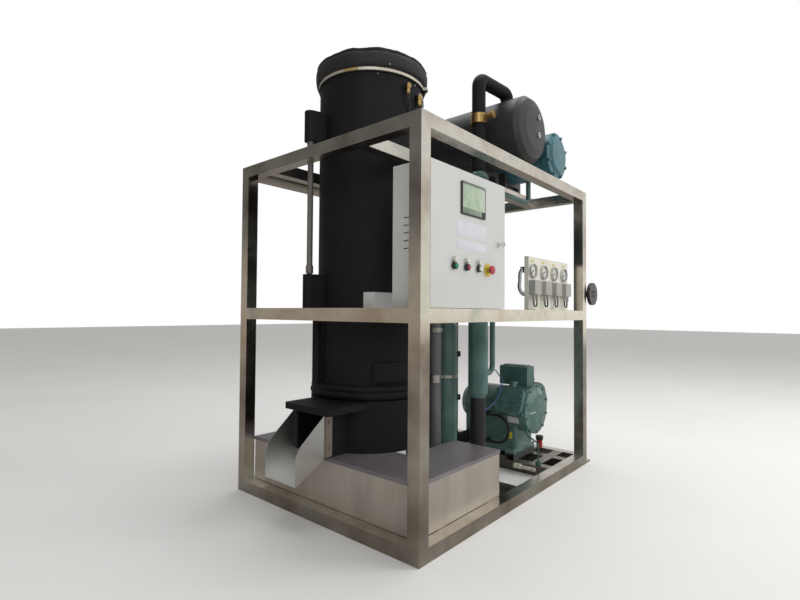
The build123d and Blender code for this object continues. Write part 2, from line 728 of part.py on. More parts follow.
# Slim green vessel on its grey stand pipe
slim_centre = (slim_vessel_x, slim_vessel_y)
slim = turned([
    (0, slim_vessel_bottom), (slim_vessel_radius - 12, slim_vessel_bottom),
    (slim_vessel_radius, slim_vessel_bottom + 24), (slim_vessel_radius, slim_vessel_top - 40),
    (slim_vessel_radius - 5, slim_vessel_top - 20), (slim_vessel_radius - 20, slim_vessel_top - 4),
    (0, slim_vessel_top),
], slim_centre)
save("slim_vessel", slim)
stand_radius = 42
save("stand_pipe", upright(stand_radius, tube, slim_vessel_bottom, slim_centre))

# Foam-wrapped riser pipe: up from the slim vessel, over, and down into the separator
nozzle_top = separator_z + separator_radius + 6
riser_pipe = pipe([
    (slim_vessel_x, slim_vessel_y, slim_vessel_top),
    (slim_vessel_x, slim_vessel_y, suction_pipe_top),
    (separator_x, suction_drop_y, suction_pipe_top),
    (separator_x, suction_drop_y, nozzle_top),
], suction_pipe_radius, suction_pipe_radius + 5)

valve_z = 2030
valve = upright(suction_pipe_radius + 7, valve_z - 26, valve_z + 26, slim_centre)
valve -= upright(suction_pipe_radius + fit_gap, valve_z - 27, valve_z + 27, slim_centre)
valve_front = slim_vessel_y - suction_pipe_radius
valve += along_y(15, valve_front - 46, valve_front - 5, slim_vessel_x, valve_z + 8)
valve += along_y(21, valve_front - 58, valve_front - 46, slim_vessel_x, valve_z + 8)
save("brass_fittings", valve, *probes)

# Liquid receiver on its tie, with two plugs
receiver_centre = (receiver_x, receiver_y)
receiver = turned([
    (0, tube), (26, tube), (26, tube + 56), (receiver_radius - 16, tube + 60),
    (receiver_radius, tube + 88), (receiver_radius, receiver_top - 30),
    (receiver_radius - 16, receiver_top - 4), (0, receiver_top),
], receiver_centre)
plug_angle = -50
for z in plug_heights:
    plug = Rot(0, 0, plug_angle) * Rot(0, 90, 0) * Cylinder(16, 22)
    receiver += Pos(*around(plug_angle, receiver_radius + 6, receiver_centre), z) * plug
save("liquid_receiver", receiver)

# Water riser with its joint, and the strap that ties the receiver to it
riser_centre = (riser_x, riser_y)
riser = upright(riser_radius, tube, mid_rail_bottom - 60, riser_centre)
joint = upright(riser_radius + 5, mid_rail_bottom - 60, mid_rail_bottom - 40, riser_centre)
joint += upright(riser_radius - 2, mid_rail_bottom - 40, mid_rail_bottom + 120, riser_centre)
strap_z = 612
strap_height = 16
strap_thickness = 4
strap_bar_y = (riser_y + receiver_y) / 2 - strap_thickness
strap = upright(receiver_radius + fit_gap + strap_thickness, strap_z, strap_z + strap_height, receiver_centre)
strap += block((riser_x, receiver_x), (strap_bar_y, strap_bar_y + 2 * strap_thickness),
               (strap_z, strap_z + strap_height))
strap -= upright(receiver_radius + fit_gap, strap_z - 1, strap_z + strap_height + 1, receiver_centre)
strap -= upright(riser_radius + fit_gap, strap_z - 1, strap_z + strap_height + 1, riser_centre)
save("water_riser", riser, joint, strap)

# Circulation pump between the tank and the riser, on its foot
pump_z = tube + 68
pump_scroll = 60
pump_motor = 52
scroll_right = riser_x - riser_radius - 12
motor_right = scroll_right - 40
motor_left = motor_right - 130
pump_y = riser_y
pump = along_x(pump_scroll, motor_right, scroll_right, pump_y, pump_z)
pump += along_x(pump_motor, motor_left, motor_right, pump_y, pump_z)
pump += along_x(20, scroll_right, riser_x, pump_y, pump_z)
pump += block((motor_left + 15, motor_right - 15), (pump_y - 45, pump_y + 45), (tube, pump_z - 30))
pump -= upright(riser_radius + fit_gap, 0, pump_z + 60, riser_centre)
pump += along_y(18, tank_front_arm_back - lip_room, pump_y, (motor_right + scroll_right) / 2, pump_z)
save("water_pump", pump)

# Compressor: motor and crank housing along Y, with its round bolted front cover
compressor_back = compressor_front + compressor_length
housing_waist = compressor_radius - 22
crank_half = 112
foot_pad = 26
head_length = 186
head_width = 168
head_y = compressor_front + head_length / 2
rail_rows = (compressor_front + 70, compressor_back - 90)
housing = lying([
    (0, compressor_front), (compressor_radius, compressor_front),
    (compressor_radius, compressor_front + 150), (housing_waist, compressor_front + 176),
    (housing_waist, compressor_back - 40), (housing_waist - 24, compressor_back),
    (0, compressor_back),
], compressor_x, compressor_z)
foot_top = tube + foot_height
crank = block((compressor_x - crank_half, compressor_x + crank_half),
              (compressor_front + 70, compressor_back - 30), (foot_top, compressor_z))
housing += fillet(crank.edges().filter_by(Axis.Z), 18)
for y in rail_rows:
    housing += block((compressor_x - 142, compressor_x + 142), (y, y + 60), (foot_top, foot_top + foot_pad))
for side in (-1, 1):
    turn = head_angle * side
    pad_block = Pos(side * (compressor_radius - 26), 0, 0) * Box(60, head_length, head_width)
    housing += Pos(compressor_x, head_y, compressor_z) * Rot(0, -turn, 0) * pad_block
save("compressor_housing", housing)

cover_face = lying([
    (0, compressor_front - 30), (compressor_radius - 60, compressor_front - 26),
    (compressor_radius - 18, compressor_front - 14), (compressor_radius + 4, compressor_front - 12),
    (compressor_radius + 4, compressor_front), (0, compressor_front),
], compressor_x, compressor_z)
for turn in range(0, 360, 36):
    spot = math.radians(turn + 18)
    reach = compressor_radius - 7
    cover_face += bolt_y(8, compressor_front - 21, compressor_front - 11,
                         compressor_x + reach * math.cos(spot), compressor_z + reach * math.sin(spot))
save("compressor_end_cover", cover_face)

# Cylinder heads, each with a raised web, eight bolts and a round valve cap on top
head_thickness = 32
web_height = 7
head_seat = compressor_radius + 4
head_bolts = [(side_y * (head_length / 2 - 17), side_z * 25) for side_y in (-1, 1) for side_z in (-1, 1)]
head_bolts += [(side_y * 32, side_z * (head_width / 2 - 17)) for side_y in (-1, 1) for side_z in (-1, 1)]
heads = []
for side in (-1, 1):
    outer_face = side * (head_seat + head_thickness)
    head = Pos(side * (head_seat + head_thickness / 2), 0, 0) * Box(head_thickness, head_length, head_width)
    head = fillet(head.edges().filter_by(Axis.X), 44)
    head += Pos(outer_face + side * web_height / 2, 0, 0) * Box(web_height, head_length - 76, 34)
    for y, z in head_bolts:
        bolt = Rot(0, 90 * side, 0) * extrude(RegularPolygon(8, 6), 8)
        head += Pos(outer_face, y, z) * bolt
    head += Pos(side * (head_seat + 18), -14, head_width / 2 + 10) * Cylinder(16, 24)
    head += Pos(side * (head_seat + 18), -14, head_width / 2 + 26) * Cylinder(21, 10)
    heads.append(Pos(compressor_x, head_y, compressor_z) * Rot(0, -head_angle * side, 0) * head)
save("cylinder_heads", *heads)

# Wiring box on top of the compressor, with its raised lid
box_front = compressor_front + wiring_box_setback
box_top = compressor_z + compressor_radius + wiring_box_rise
wiring_box = block((compressor_x - wiring_box_width / 2, compressor_x + wiring_box_width / 2),
                   (box_front, box_front + wiring_box_length),
                   (compressor_z + compressor_radius - 12, box_top))
wiring_box = fillet(wiring_box.edges().filter_by(Axis.Y).group_by(Axis.Z)[-1], 16)
wiring_box += block((compressor_x - wiring_box_width / 2 + 20, compressor_x + wiring_box_width / 2 - 20),
                    (box_front + 18, box_front + wiring_box_length - 18), (box_top, box_top + 6))
wiring_box -= along_y(compressor_radius + fit_gap, compressor_front, compressor_back,
                      compressor_x, compressor_z)
save("compressor_wiring_box", wiring_box)

rails = []
for y in rail_rows:
    rail = block((bearer_centres[3] - 30, bearer_centres[4] + 30), (y, y + 60), (tube, foot_top))
    rail -= block((bearer_centres[3] - 31, bearer_centres[4] + 31), (y + 4, y + 56), (tube - 1, foot_top - 4))
    rails.append(rail)
save("compressor_rails", *rails)

# Gauge panel: folded plate that stands on the front mid rail
panel_front = -inner_y - 3
panel_bottom = mid_rail_top
panel_top = panel_bottom + panel_height
panel = block((panel_left, panel_right), (panel_front, panel_front + 3), (panel_bottom, panel_top))
for x in (panel_left, panel_right - 3):
    panel += block((x, x + 3), (panel_front + 3, panel_front + 25), (panel_bottom, panel_top))
panel += block((panel_left, panel_right), (front_face + 12, panel_front), (panel_bottom, panel_bottom + 3))
gauge_spots = [gauge_first_x + gauge_pitch * i for i in range(gauge_count)]
gauge_body = gauge_radius - 5
for x in gauge_spots:
    panel -= along_y(gauge_body + fit_gap, panel_front - 1, panel_front + 4, x, gauge_z)
save("gauge_panel", panel)

# Gauge cases, each with a pin for its needle
bezel_depth = 12
dial_y = panel_front - 3
pin_radius = 2
cases = []
for x in gauge_spots:
    case = along_y(gauge_radius, panel_front - bezel_depth, panel_front, x, gauge_z)
    case += along_y(gauge_body, panel_front, panel_front + 34, x, gauge_z)
    case += along_y(8, panel_front + 34, panel_front + 54, x, gauge_z)
    case -= along_y(gauge_radius - 4, panel_front - bezel_depth - 1, dial_y, x, gauge_z)
    case += along_y(pin_radius, dial_y - 6, dial_y, x, gauge_z)
    cases.append(case)
save("gauge_cases", *cases)

needle_length = gauge_radius - 12
pointer = Pos(0, 0, -needle_length / 2) * Box(2.4, 1.6, needle_length)
for index, x in enumerate(gauge_spots, start=1):
    needle = along_y(4.5, dial_y - 4, dial_y - 2, x, gauge_z)
    needle += Pos(x, dial_y - 3, gauge_z) * Rot(0, 45, 0) * pointer
    needle -= along_y(pin_radius + running_gap, dial_y - 8, dial_y + 1, x, gauge_z)
    save(f"gauge_needle_{index}", needle)

# Pressure switches under the gauges, each with two capillary nuts
switches = []
for x in gauge_spots:
    case = block((x - 44, x + 36), (panel_front - 38, panel_front), (gauge_z - 132, gauge_z - 54))
    case = fillet(case.edges().filter_by(Axis.Y), 3)
    for dx in (-24, 14):
        case += upright(9, gauge_z - 164, gauge_z - 132, (x + dx, panel_front - 20))
    switches.append(case)
save("pressure_switches", *switches)

# Foam-wrapped pipes: vapour from the evaporator to the separator, and suction down to the compressor
line_radius = 37
vapour_y = evaporator_y
vapour = along_x(line_radius, evaporator_x + shell_radius - 6, separator_x - separator_radius + 6,
                 vapour_y, separator_z)
vapour -= upright(shell_radius + fit_gap, separator_z - 50, separator_z + 50, evaporator_centre)
vapour -= along_y(separator_radius + fit_gap, vapour_y - 60, vapour_y + 60, separator_x, separator_z)
suction_y = -30
suction_low = foot_top + foot_pad + line_radius + 4
suction = pipe([
    (separator_x, suction_y, separator_z - separator_radius + 6),
    (separator_x, suction_y, suction_low),
    (compressor_x - crank_half, suction_y, suction_low),
], line_radius, 70)
suction -= along_y(separator_radius + fit_gap, suction_y - 60, suction_y + 60, separator_x, separator_z)
save("suction_pipes", riser_pipe, vapour, suction)

# Painted refrigerant pipes: hot gas to the slim vessel, and on to the condenser above
gas_radius = 15
hot_gas_z = 585
hot_gas_end = (compressor_x - 40, compressor_back - 110)
hot_gas_angle = math.degrees(math.atan2(hot_gas_end[1] - slim_vessel_y, hot_gas_end[0] - slim_vessel_x))
hot_gas_start = around(hot_gas_angle, slim_vessel_radius - 4, slim_centre)
hot_gas = pipe([
    (hot_gas_start[0], hot_gas_start[1], hot_gas_z),
    (hot_gas_end[0], hot_gas_end[1], hot_gas_z),
    (hot_gas_end[0], hot_gas_end[1], compressor_z + housing_waist - 14),
], gas_radius, 44)
hot_gas -= upright(slim_vessel_radius + fit_gap, hot_gas_z - 40, hot_gas_z + 40, slim_centre)
hot_gas -= along_y(housing_waist + fit_gap, compressor_front, compressor_back, compressor_x, compressor_z)
take_off_x = 88
take_off_z = 640
roof_run_z = roof - tube - 34
condenser_pipe = pipe([
    (slim_vessel_x + slim_vessel_radius - 4, slim_vessel_y, take_off_z),
    (take_off_x, slim_vessel_y, take_off_z),
    (take_off_x, slim_vessel_y, roof_run_z),
    (condenser_x, slim_vessel_y, roof_run_z),
    (condenser_x, slim_vessel_y, condenser_z - condenser_radius + 4),
], gas_radius, 44)
condenser_pipe -= upright(slim_vessel_radius + fit_gap, take_off_z - 40, take_off_z + 40, slim_centre)
condenser_pipe -= along_y(condenser_radius + fit_gap, slim_vessel_y - 60, slim_vessel_y + 60,
                          condenser_x, condenser_z)
save("hot_gas_pipes", hot_gas, condenser_pipe)

# Water connection beside the front right post: an elbow with a round flange that faces the front
connection_z = 1104
connection_radius = 74
connection_bolt_step = 13
stub_radius = 22
flange_back = front_face + 2
flange_front = flange_back - 20
connection_x = half_width + connection_radius + 9
post_y = front_face + tube / 2
connection = pipe([(half_width, post_y, connection_z), (connection_x, post_y, connection_z),
                   (connection_x, flange_back, connection_z)], stub_radius, stub_radius + 2)
connection += along_y(connection_radius, flange_front, flange_back, connection_x, connection_z)
for dx in (-connection_bolt_step, connection_bolt_step):
    for dz in (-connection_bolt_step, connection_bolt_step):
        connection += bolt_y(5, flange_front - 5, flange_front, connection_x + dx, connection_z + dz)
save("water_connection", connection)

# Service lines. First the oil hose, looped from the compressor's flank down to its crank case
oil_hose_radius = 7.5
union_radius = 12
oil_y = compressor_front + 260
oil_x = compressor_x - compressor_radius - 15
oil_high = compressor_z - 42
oil_low = foot_top + 60
loop_reach = 166
loop_bend = 80
oil_hose = pipe([
    (oil_x, oil_y, oil_high), (oil_x, oil_y - loop_reach, oil_high),
    (oil_x, oil_y - loop_reach, oil_low), (oil_x, oil_y, oil_low),
], oil_hose_radius, loop_bend)
union_left = oil_x - union_radius - 2
high_union = along_x(union_radius, union_left, compressor_x - housing_waist + 10, oil_y, oil_high)
high_union -= along_y(housing_waist + fit_gap, compressor_front, compressor_back, compressor_x, compressor_z)
oil_hose += high_union
oil_hose += along_x(union_radius, union_left, compressor_x - crank_half, oil_y, oil_low)

# Drain pipe from the rim of the end cover down to its fitting on the bearer
drain_x = compressor_x - 120
drain_top = compressor_z - 98
drain_step_y = compressor_front - 80
fitting_height = 24
drain = pipe([
    (drain_x, compressor_front - 6, drain_top), (drain_x, compressor_front - 6, drain_top - 44),
    (drain_x, drain_step_y, drain_top - 84), (drain_x, drain_step_y, tube + fitting_height),
], 5, 24)
drain -= along_y(compressor_radius + 4, compressor_front - 13, compressor_front, compressor_x, compressor_z)
drain += block((drain_x - 13, drain_x + 13), (drain_step_y - 12, drain_step_y + 12),
               (tube, tube + fitting_height))

# Capillary loops under the pressure switches, from nut to nut
switch_y = panel_front - 20
nut_bottom = gauge_z - 164
loops = []
for x in gauge_spots:
    loops.append(pipe([(x - 24, switch_y, nut_bottom), (x - 24, switch_y, nut_bottom - 34),
                       (x + 14, switch_y, nut_bottom - 34), (x + 14, switch_y, nut_bottom)], 4, 15))

# Drain valve with its cap, on the right base rail
valve_place = (half_width - tube / 2, front_face + 312)
drain_valve = upright(20, tube, tube + 46, valve_place)
drain_valve += upright(25, tube + 46, tube + 72, valve_place)
save("service_lines", oil_hose, drain, drain_valve, *loops)
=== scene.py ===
import math

import bpy
from mathutils import Euler, Matrix, Vector, noise


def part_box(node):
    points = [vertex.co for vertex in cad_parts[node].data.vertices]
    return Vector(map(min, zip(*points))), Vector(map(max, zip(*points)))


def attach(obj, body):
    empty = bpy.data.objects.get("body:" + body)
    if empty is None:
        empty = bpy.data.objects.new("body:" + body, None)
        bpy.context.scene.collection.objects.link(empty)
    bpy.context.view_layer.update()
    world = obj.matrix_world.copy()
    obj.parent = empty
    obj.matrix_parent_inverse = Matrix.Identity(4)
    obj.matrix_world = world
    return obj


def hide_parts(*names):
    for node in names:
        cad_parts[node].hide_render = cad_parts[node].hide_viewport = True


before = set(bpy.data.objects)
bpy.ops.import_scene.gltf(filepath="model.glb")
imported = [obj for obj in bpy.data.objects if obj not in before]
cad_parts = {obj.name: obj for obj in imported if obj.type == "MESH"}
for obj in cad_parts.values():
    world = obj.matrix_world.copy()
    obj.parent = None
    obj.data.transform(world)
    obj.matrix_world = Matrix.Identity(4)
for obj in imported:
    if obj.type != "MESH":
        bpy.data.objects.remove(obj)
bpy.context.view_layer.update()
bpy.ops.object.select_all(action="DESELECT")

# Camera
# It stands off the near corner of the frame, at about chest height, and looks almost level.
# Place, turn and lens come from the straight edges of the frame in the photograph.
camera_place = Vector((-2.35108, -1.79656, 0.97391))
camera_yaw = 0.8603
camera_pitch = 0.0249
camera_roll = 0.0069
camera_data = bpy.data.cameras.new("camera")
camera_data.lens = 21.99
camera_data.sensor_width = 36
camera = bpy.data.objects.new("camera", camera_data)
bpy.context.scene.collection.objects.link(camera)
aim = Euler((math.pi / 2 + camera_pitch, 0, -camera_yaw)).to_matrix()
aim = (aim @ Matrix.Rotation(camera_roll, 3, "Z")).to_4x4()
aim.translation = camera_place
camera.matrix_world = aim
bpy.context.scene.camera = camera

# Studio
# A pale floor in an even white room, lit softly from the front right and dimmer at the back left.
# Three cards stand far off, where only the polished steel shows them.
scene = bpy.context.scene
scene.view_settings.view_transform = "Standard"
world = bpy.data.worlds.new("studio")
scene.world = world
world.use_nodes = True
nodes = world.node_tree.nodes
links = world.node_tree.links
sky = nodes.new("ShaderNodeTexCoord")
toward_light = nodes.new("ShaderNodeVectorMath")
toward_light.operation = "DOT_PRODUCT"
toward_light.inputs[1].default_value = (0.74, -0.65, 0.16)
links.new(sky.outputs["Generated"], toward_light.inputs[0])
dim_side = 0.09
bright_side = 0.80
spread = nodes.new("ShaderNodeMapRange")
spread.inputs["From Min"].default_value = -1
spread.inputs["From Max"].default_value = 1
spread.inputs["To Min"].default_value = dim_side
spread.inputs["To Max"].default_value = bright_side
links.new(toward_light.outputs["Value"], spread.inputs["Value"])
backdrop = nodes.new("ShaderNodeBackground")
backdrop.inputs["Color"].default_value = (1, 1, 1, 1)
seen = nodes.new("ShaderNodeLightPath")
room = nodes.new("ShaderNodeMixShader")
links.new(spread.outputs["Result"], nodes["Background"].inputs["Strength"])
links.new(seen.outputs["Is Camera Ray"], room.inputs["Fac"])
links.new(nodes["Background"].outputs[0], room.inputs[1])
links.new(backdrop.outputs[0], room.inputs[2])
links.new(room.outputs[0], nodes["World Output"].inputs["Surface"])
nodes["Background"].inputs["Color"].default_value = (1.0, 0.985, 0.96, 1)


def soft_light(name, place, target, size, power, colour, mirrored=True):
    """A large square light at a place, turned to a target, and shown in reflections or not."""
    data = bpy.data.lights.new(name, "AREA")
    data.size = size
    data.energy = power
    data.color = colour
    light = bpy.data.objects.new(name, data)
    light.location = place
    light.rotation_euler = (Vector(target) - Vector(place)).to_track_quat("-Z", "Y").to_euler()
    bpy.context.scene.collection.objects.link(light)
    light.visible_glossy = mirrored


soft_light("key_light", (3.4, -5.4, 3.6), (0, 0, 1.0), 3.2, 155, (1.0, 0.99, 0.97), mirrored=False)
soft_light("fill_light", (-4.6, -3.4, 3.0), (-0.3, 0, 1.2), 3.0, 36, (0.96, 0.98, 1.0))
soft_light("top_light", (0.6, 0.2, 6.0), (0, 0, 1.0), 4.0, 105, (1.0, 1.0, 1.0))


def stage_card(name, place, size, colour, strength, turn):
    """An upright glowing card that shows in reflections only."""
    bpy.ops.mesh.primitive_plane_add(size=1, location=place, rotation=(math.pi / 2, 0, turn))
    card = bpy.context.object
    card.name = name
    card.scale = (size[0], size[1], 1)
    material = bpy.data.materials.new(name)
    material.use_nodes = True
    nodes = material.node_tree.nodes
    nodes.remove(nodes["Principled BSDF"])
    glow = nodes.new("ShaderNodeEmission")
    glow.inputs["Color"].default_value = (*colour, 1)
    glow.inputs["Strength"].default_value = strength
    material.node_tree.links.new(glow.outputs[0], nodes["Material Output"].inputs["Surface"])
    card.data.materials.append(material)
    card.visible_camera = False
    card.visible_shadow = False


card_turn = math.radians(50)
stage_card("card_left", (-6.5, 5.5, 1.1), (11, 2.2), (0.46, 0.40, 0.34), 0.9, card_turn)
stage_card("card_right", (7.6, -6.2, 1.1), (10, 1.5), (1.0, 0.98, 0.90), 1.05, card_turn)
stage_card("card_green", (5.6, -7.4, 2.1), (1.6, 0.9), (0.52, 0.80, 0.40), 0.8, card_turn)

floor_colour = (0.97, 0.97, 0.965)
floor_size = 60
floor_drop = 0.0005
bpy.ops.mesh.primitive_plane_add(size=floor_size, location=(0, 0, -floor_drop))
floor = bpy.context.object
floor.name = "floor"


def new_material(name):
    """A material with its nodes, its links and its surface shader."""
    material = bpy.data.materials.new(name)
    material.use_nodes = True
    tree = material.node_tree
    return material, tree.nodes, tree.links, tree.nodes["Principled BSDF"]


def pattern_space(nodes, links, stretch=(1, 1, 1)):
    """Object coordinates, stretched along each axis."""
    place = nodes.new("ShaderNodeTexCoord")
    mapping = nodes.new("ShaderNodeMapping")
    mapping.inputs["Scale"].default_value = stretch
    links.new(place.outputs["Object"], mapping.inputs["Vector"])
    return mapping.outputs["Vector"]


def noise_field(nodes, links, space, scale, detail=4, roughness=0.55):
    """A noise value that follows a pattern space."""
    noise = nodes.new("ShaderNodeTexNoise")
    noise.inputs["Scale"].default_value = scale
    noise.inputs["Detail"].default_value = detail
    noise.inputs["Roughness"].default_value = roughness
    links.new(space, noise.inputs["Vector"])
    return noise.outputs["Fac"]


def ramp_of(nodes, links, value, stops):
    """A colour that runs through the stops, each a place and a colour."""
    ramp = nodes.new("ShaderNodeValToRGB")
    while len(ramp.color_ramp.elements) < len(stops):
        ramp.color_ramp.elements.new(0.5)
    for element, (place, colour) in zip(ramp.color_ramp.elements, stops):
        element.position = place
        element.color = (*colour, 1)
    links.new(value, ramp.inputs["Fac"])
    return ramp.outputs["Color"]


def roughness_of(nodes, links, shader, value, low, high):
    """Roughness that runs from low to high with a noise value."""
    spread = nodes.new("ShaderNodeMapRange")
    spread.inputs["From Min"].default_value = 0.3
    spread.inputs["From Max"].default_value = 0.7
    spread.inputs["To Min"].default_value = low
    spread.inputs["To Max"].default_value = high
    links.new(value, spread.inputs["Value"])
    links.new(spread.outputs["Result"], shader.inputs["Roughness"])


def bump_of(nodes, links, shader, value, strength, distance):
    """Bump from a noise value."""
    bump = nodes.new("ShaderNodeBump")
    bump.inputs["Strength"].default_value = strength
    bump.inputs["Distance"].default_value = distance
    links.new(value, bump.inputs["Height"])
    links.new(bump.outputs["Normal"], shader.inputs["Normal"])


def mottled(name, stops, scale, rough, stretch=(1, 1, 1), metal=0.0, bump=(0.1, 0.001), grain=60,
            coat=0.0):
    """A finish with uneven colour, uneven gloss and a fine grain."""
    material, nodes, links, shader = new_material(name)
    space = pattern_space(nodes, links, stretch)
    broad = noise_field(nodes, links, space, scale)
    fine = noise_field(nodes, links, space, grain, detail=6)
    links.new(ramp_of(nodes, links, broad, stops), shader.inputs["Base Color"])
    roughness_of(nodes, links, shader, broad, *rough)
    bump_of(nodes, links, shader, fine, *bump)
    shader.inputs["Metallic"].default_value = metal
    shader.inputs["Coat Weight"].default_value = coat
    return material


floor_paint = mottled("floor_paint", ((0.3, (0.94, 0.94, 0.935)), (0.7, floor_colour)), 0.7, (0.5, 0.65),
                      bump=(0.03, 0.0005))
floor.data.materials.append(floor_paint)
nodes = floor_paint.node_tree.nodes
links = floor_paint.node_tree.links
seen = nodes.new("ShaderNodeLightPath")
# Painted shade: in reflections the floor shows a dim taupe grey, so the steel mirrors a floor in shadow.
dim = nodes.new("ShaderNodeBsdfDiffuse")
mirrored_floor_colour = (0.34, 0.32, 0.30, 1)
dim.inputs["Color"].default_value = mirrored_floor_colour
floor_mix = nodes.new("ShaderNodeMixShader")
links.new(seen.outputs["Is Glossy Ray"], floor_mix.inputs["Fac"])
links.new(nodes["Principled BSDF"].outputs[0], floor_mix.inputs[1])
links.new(dim.outputs[0], floor_mix.inputs[2])
links.new(floor_mix.outputs[0], nodes["Material Output"].inputs["Surface"])

# Frame
# Square tube of bright stainless steel, mitred and welded, then ground and polished by hand.
# The polish is uneven, with fine lines along the tube and dull ground patches; the broad beige, taupe and
# pale green clouds in its colour are painted reflections of the room.


def dress(material, *names):
    """Give CAD nodes their finish."""
    for name in names:
        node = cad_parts[name]
        node.data.materials.clear()
        node.data.materials.append(material)


frame_steel, nodes, links, shader = new_material("polished_frame_steel")
space = pattern_space(nodes, links)
clouds = noise_field(nodes, links, space, 3.2, detail=3, roughness=0.6)
lines = noise_field(nodes, links, pattern_space(nodes, links, (40, 40, 2.0)), 6, detail=5)
# Painted reflections: the clouds tint the steel taupe, beige and pale green.
links.new(ramp_of(nodes, links, clouds, (
    (0.30, (0.46, 0.40, 0.34)), (0.44, (0.62, 0.57, 0.50)), (0.56, (0.74, 0.71, 0.64)),
    (0.70, (0.60, 0.60, 0.54)))), shader.inputs["Base Color"])
roughness_of(nodes, links, shader, clouds, 0.16, 0.34)
bump_of(nodes, links, shader, lines, 0.05, 0.0004)
shader.inputs["Metallic"].default_value = 1.0
dress(frame_steel, "frame_posts", "base_rails", "mid_rails", "top_rails", "roof_crossbeams", "anchor_lug")
# Painted shade: the bearers under the base are given a dark steel colour.
bearer_steel = mottled("shaded_bearer_steel", ((0.3, (0.17, 0.155, 0.14)), (0.7, (0.34, 0.32, 0.29))), 5,
                       (0.22, 0.36), metal=1.0, bump=(0.06, 0.0005), grain=90)
dress(bearer_steel, "base_bearers")

# Water tank
# Folded and welded satin stainless sheet, with faint upright rub marks on its sides.
# Its cover is a lipped plate with a purple-grey protective film still on it.
tank_steel = mottled("satin_tank_steel", ((0.3, (0.60, 0.55, 0.49)), (0.7, (0.76, 0.71, 0.64))), 2.4,
                     (0.32, 0.44), stretch=(3, 3, 0.7), metal=0.74, bump=(0.05, 0.0006), grain=90)
cover_film = mottled("cover_film", ((0.3, (0.20, 0.18, 0.205)), (0.7, (0.29, 0.27, 0.30))), 5,
                     (0.38, 0.52), bump=(0.08, 0.0008), metal=0.35)
dress(tank_steel, "water_tank")
dress(cover_film, "tank_cover")

# Foam covering
# Black closed-cell rubber foam, glued on in sheets over the evaporator, drum, duct, suction
# vessel and cold pipes. It is matt and a little soft, and the vessel's foam is given a paler colour: a
# painted sheen for the glare on it.
foam = mottled("black_foam", ((0.3, (0.0045, 0.0045, 0.005)), (0.7, (0.0105, 0.0105, 0.0115))), 6,
               (0.56, 0.74), bump=(0.35, 0.0012), grain=38)
foam.node_tree.nodes["Principled BSDF"].inputs["Specular IOR Level"].default_value = 0.32
dress(foam, "cutter_drum", "outlet_duct", "evaporator_shell", "level_branches", "suction_pipes")
# Painted sheen: the separator's foam is a paler copy of the black foam.
paler_sheen_foam = mottled("paler_sheen_foam", ((0.3, (0.022, 0.023, 0.025)), (0.7, (0.042, 0.044, 0.047))), 6,
                      (0.36, 0.52), bump=(0.35, 0.0012), grain=38)
dress(paler_sheen_foam, "suction_separator")

# Evaporator lid
# A foam cap over the water box cover, cut and glued by hand, so its rim is soft and wavy.
# Its skin is creased under the top edge, and a few bright pins hold it and the foam under it.


def open_piece(name):
    """Name the new primitive, put its place into its mesh and open it with nothing selected."""
    piece = bpy.context.object
    piece.name = name
    piece.data.name = name
    bpy.ops.object.transform_apply(location=True, rotation=True, scale=True)
    bpy.ops.object.mode_set(mode="EDIT")
    bpy.ops.mesh.select_all(action="DESELECT")
    return piece


def tidy_mesh():
    """Merge doubled points and turn the faces outward."""
    bpy.ops.mesh.select_all(action="SELECT")
    bpy.ops.mesh.remove_doubles(threshold=0.00003)
    bpy.ops.mesh.normals_make_consistent(inside=False)


def turned_piece(name, outline, centre, axis=(0, 0, 1), steps=48):
    """A turned shape: an outline of reach and height, drawn point by point and spun round its axis."""
    along = Vector(axis)
    across = Vector((1, 0, 0))
    places = [Vector(centre) + across * reach + along * height for reach, height in outline]
    bpy.ops.mesh.primitive_plane_add(size=0.01, location=places[0])
    piece = open_piece(name)
    bpy.ops.mesh.select_all(action="SELECT")
    bpy.ops.mesh.merge(type="CENTER")
    for here, there in zip(places, places[1:]):
        bpy.ops.mesh.extrude_vertices_move(TRANSFORM_OT_translate={"value": tuple(there - here)})
    bpy.ops.mesh.select_all(action="SELECT")
    bpy.ops.mesh.spin(steps=steps, angle=math.tau, center=centre, axis=axis)
    tidy_mesh()
    return piece


def seat(piece, material, body, angle=40):
    """Close the mesh, shade it, give it its finish and fix it to its body."""
    if bpy.context.mode == "EDIT_MESH":
        bpy.ops.object.mode_set(mode="OBJECT")
    bpy.ops.object.select_all(action="DESELECT")
    piece.select_set(True)
    bpy.context.view_layer.objects.active = piece
    for modifier in list(piece.modifiers):
        bpy.ops.object.modifier_apply(modifier=modifier.name)
    bpy.ops.object.shade_smooth_by_angle(angle=math.radians(angle))
    piece.data.materials.clear()
    piece.data.materials.append(material)
    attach(piece, body)
    piece.select_set(False)
    return piece


def nudge(piece, shift):
    """Move each point of a soft piece by a function of its place."""
    bpy.ops.object.mode_set(mode="OBJECT")
    for vertex in piece.data.vertices:
        vertex.co += shift(vertex.co)


evaporator_place = Vector((-0.418, 0.083, 0))
shell_reach = 0.283


def near_side(angle, reach, height):
    """The place at an angle in degrees round the evaporator."""
    turn = math.radians(angle)
    return evaporator_place + Vector((reach * math.cos(turn), reach * math.sin(turn), height))


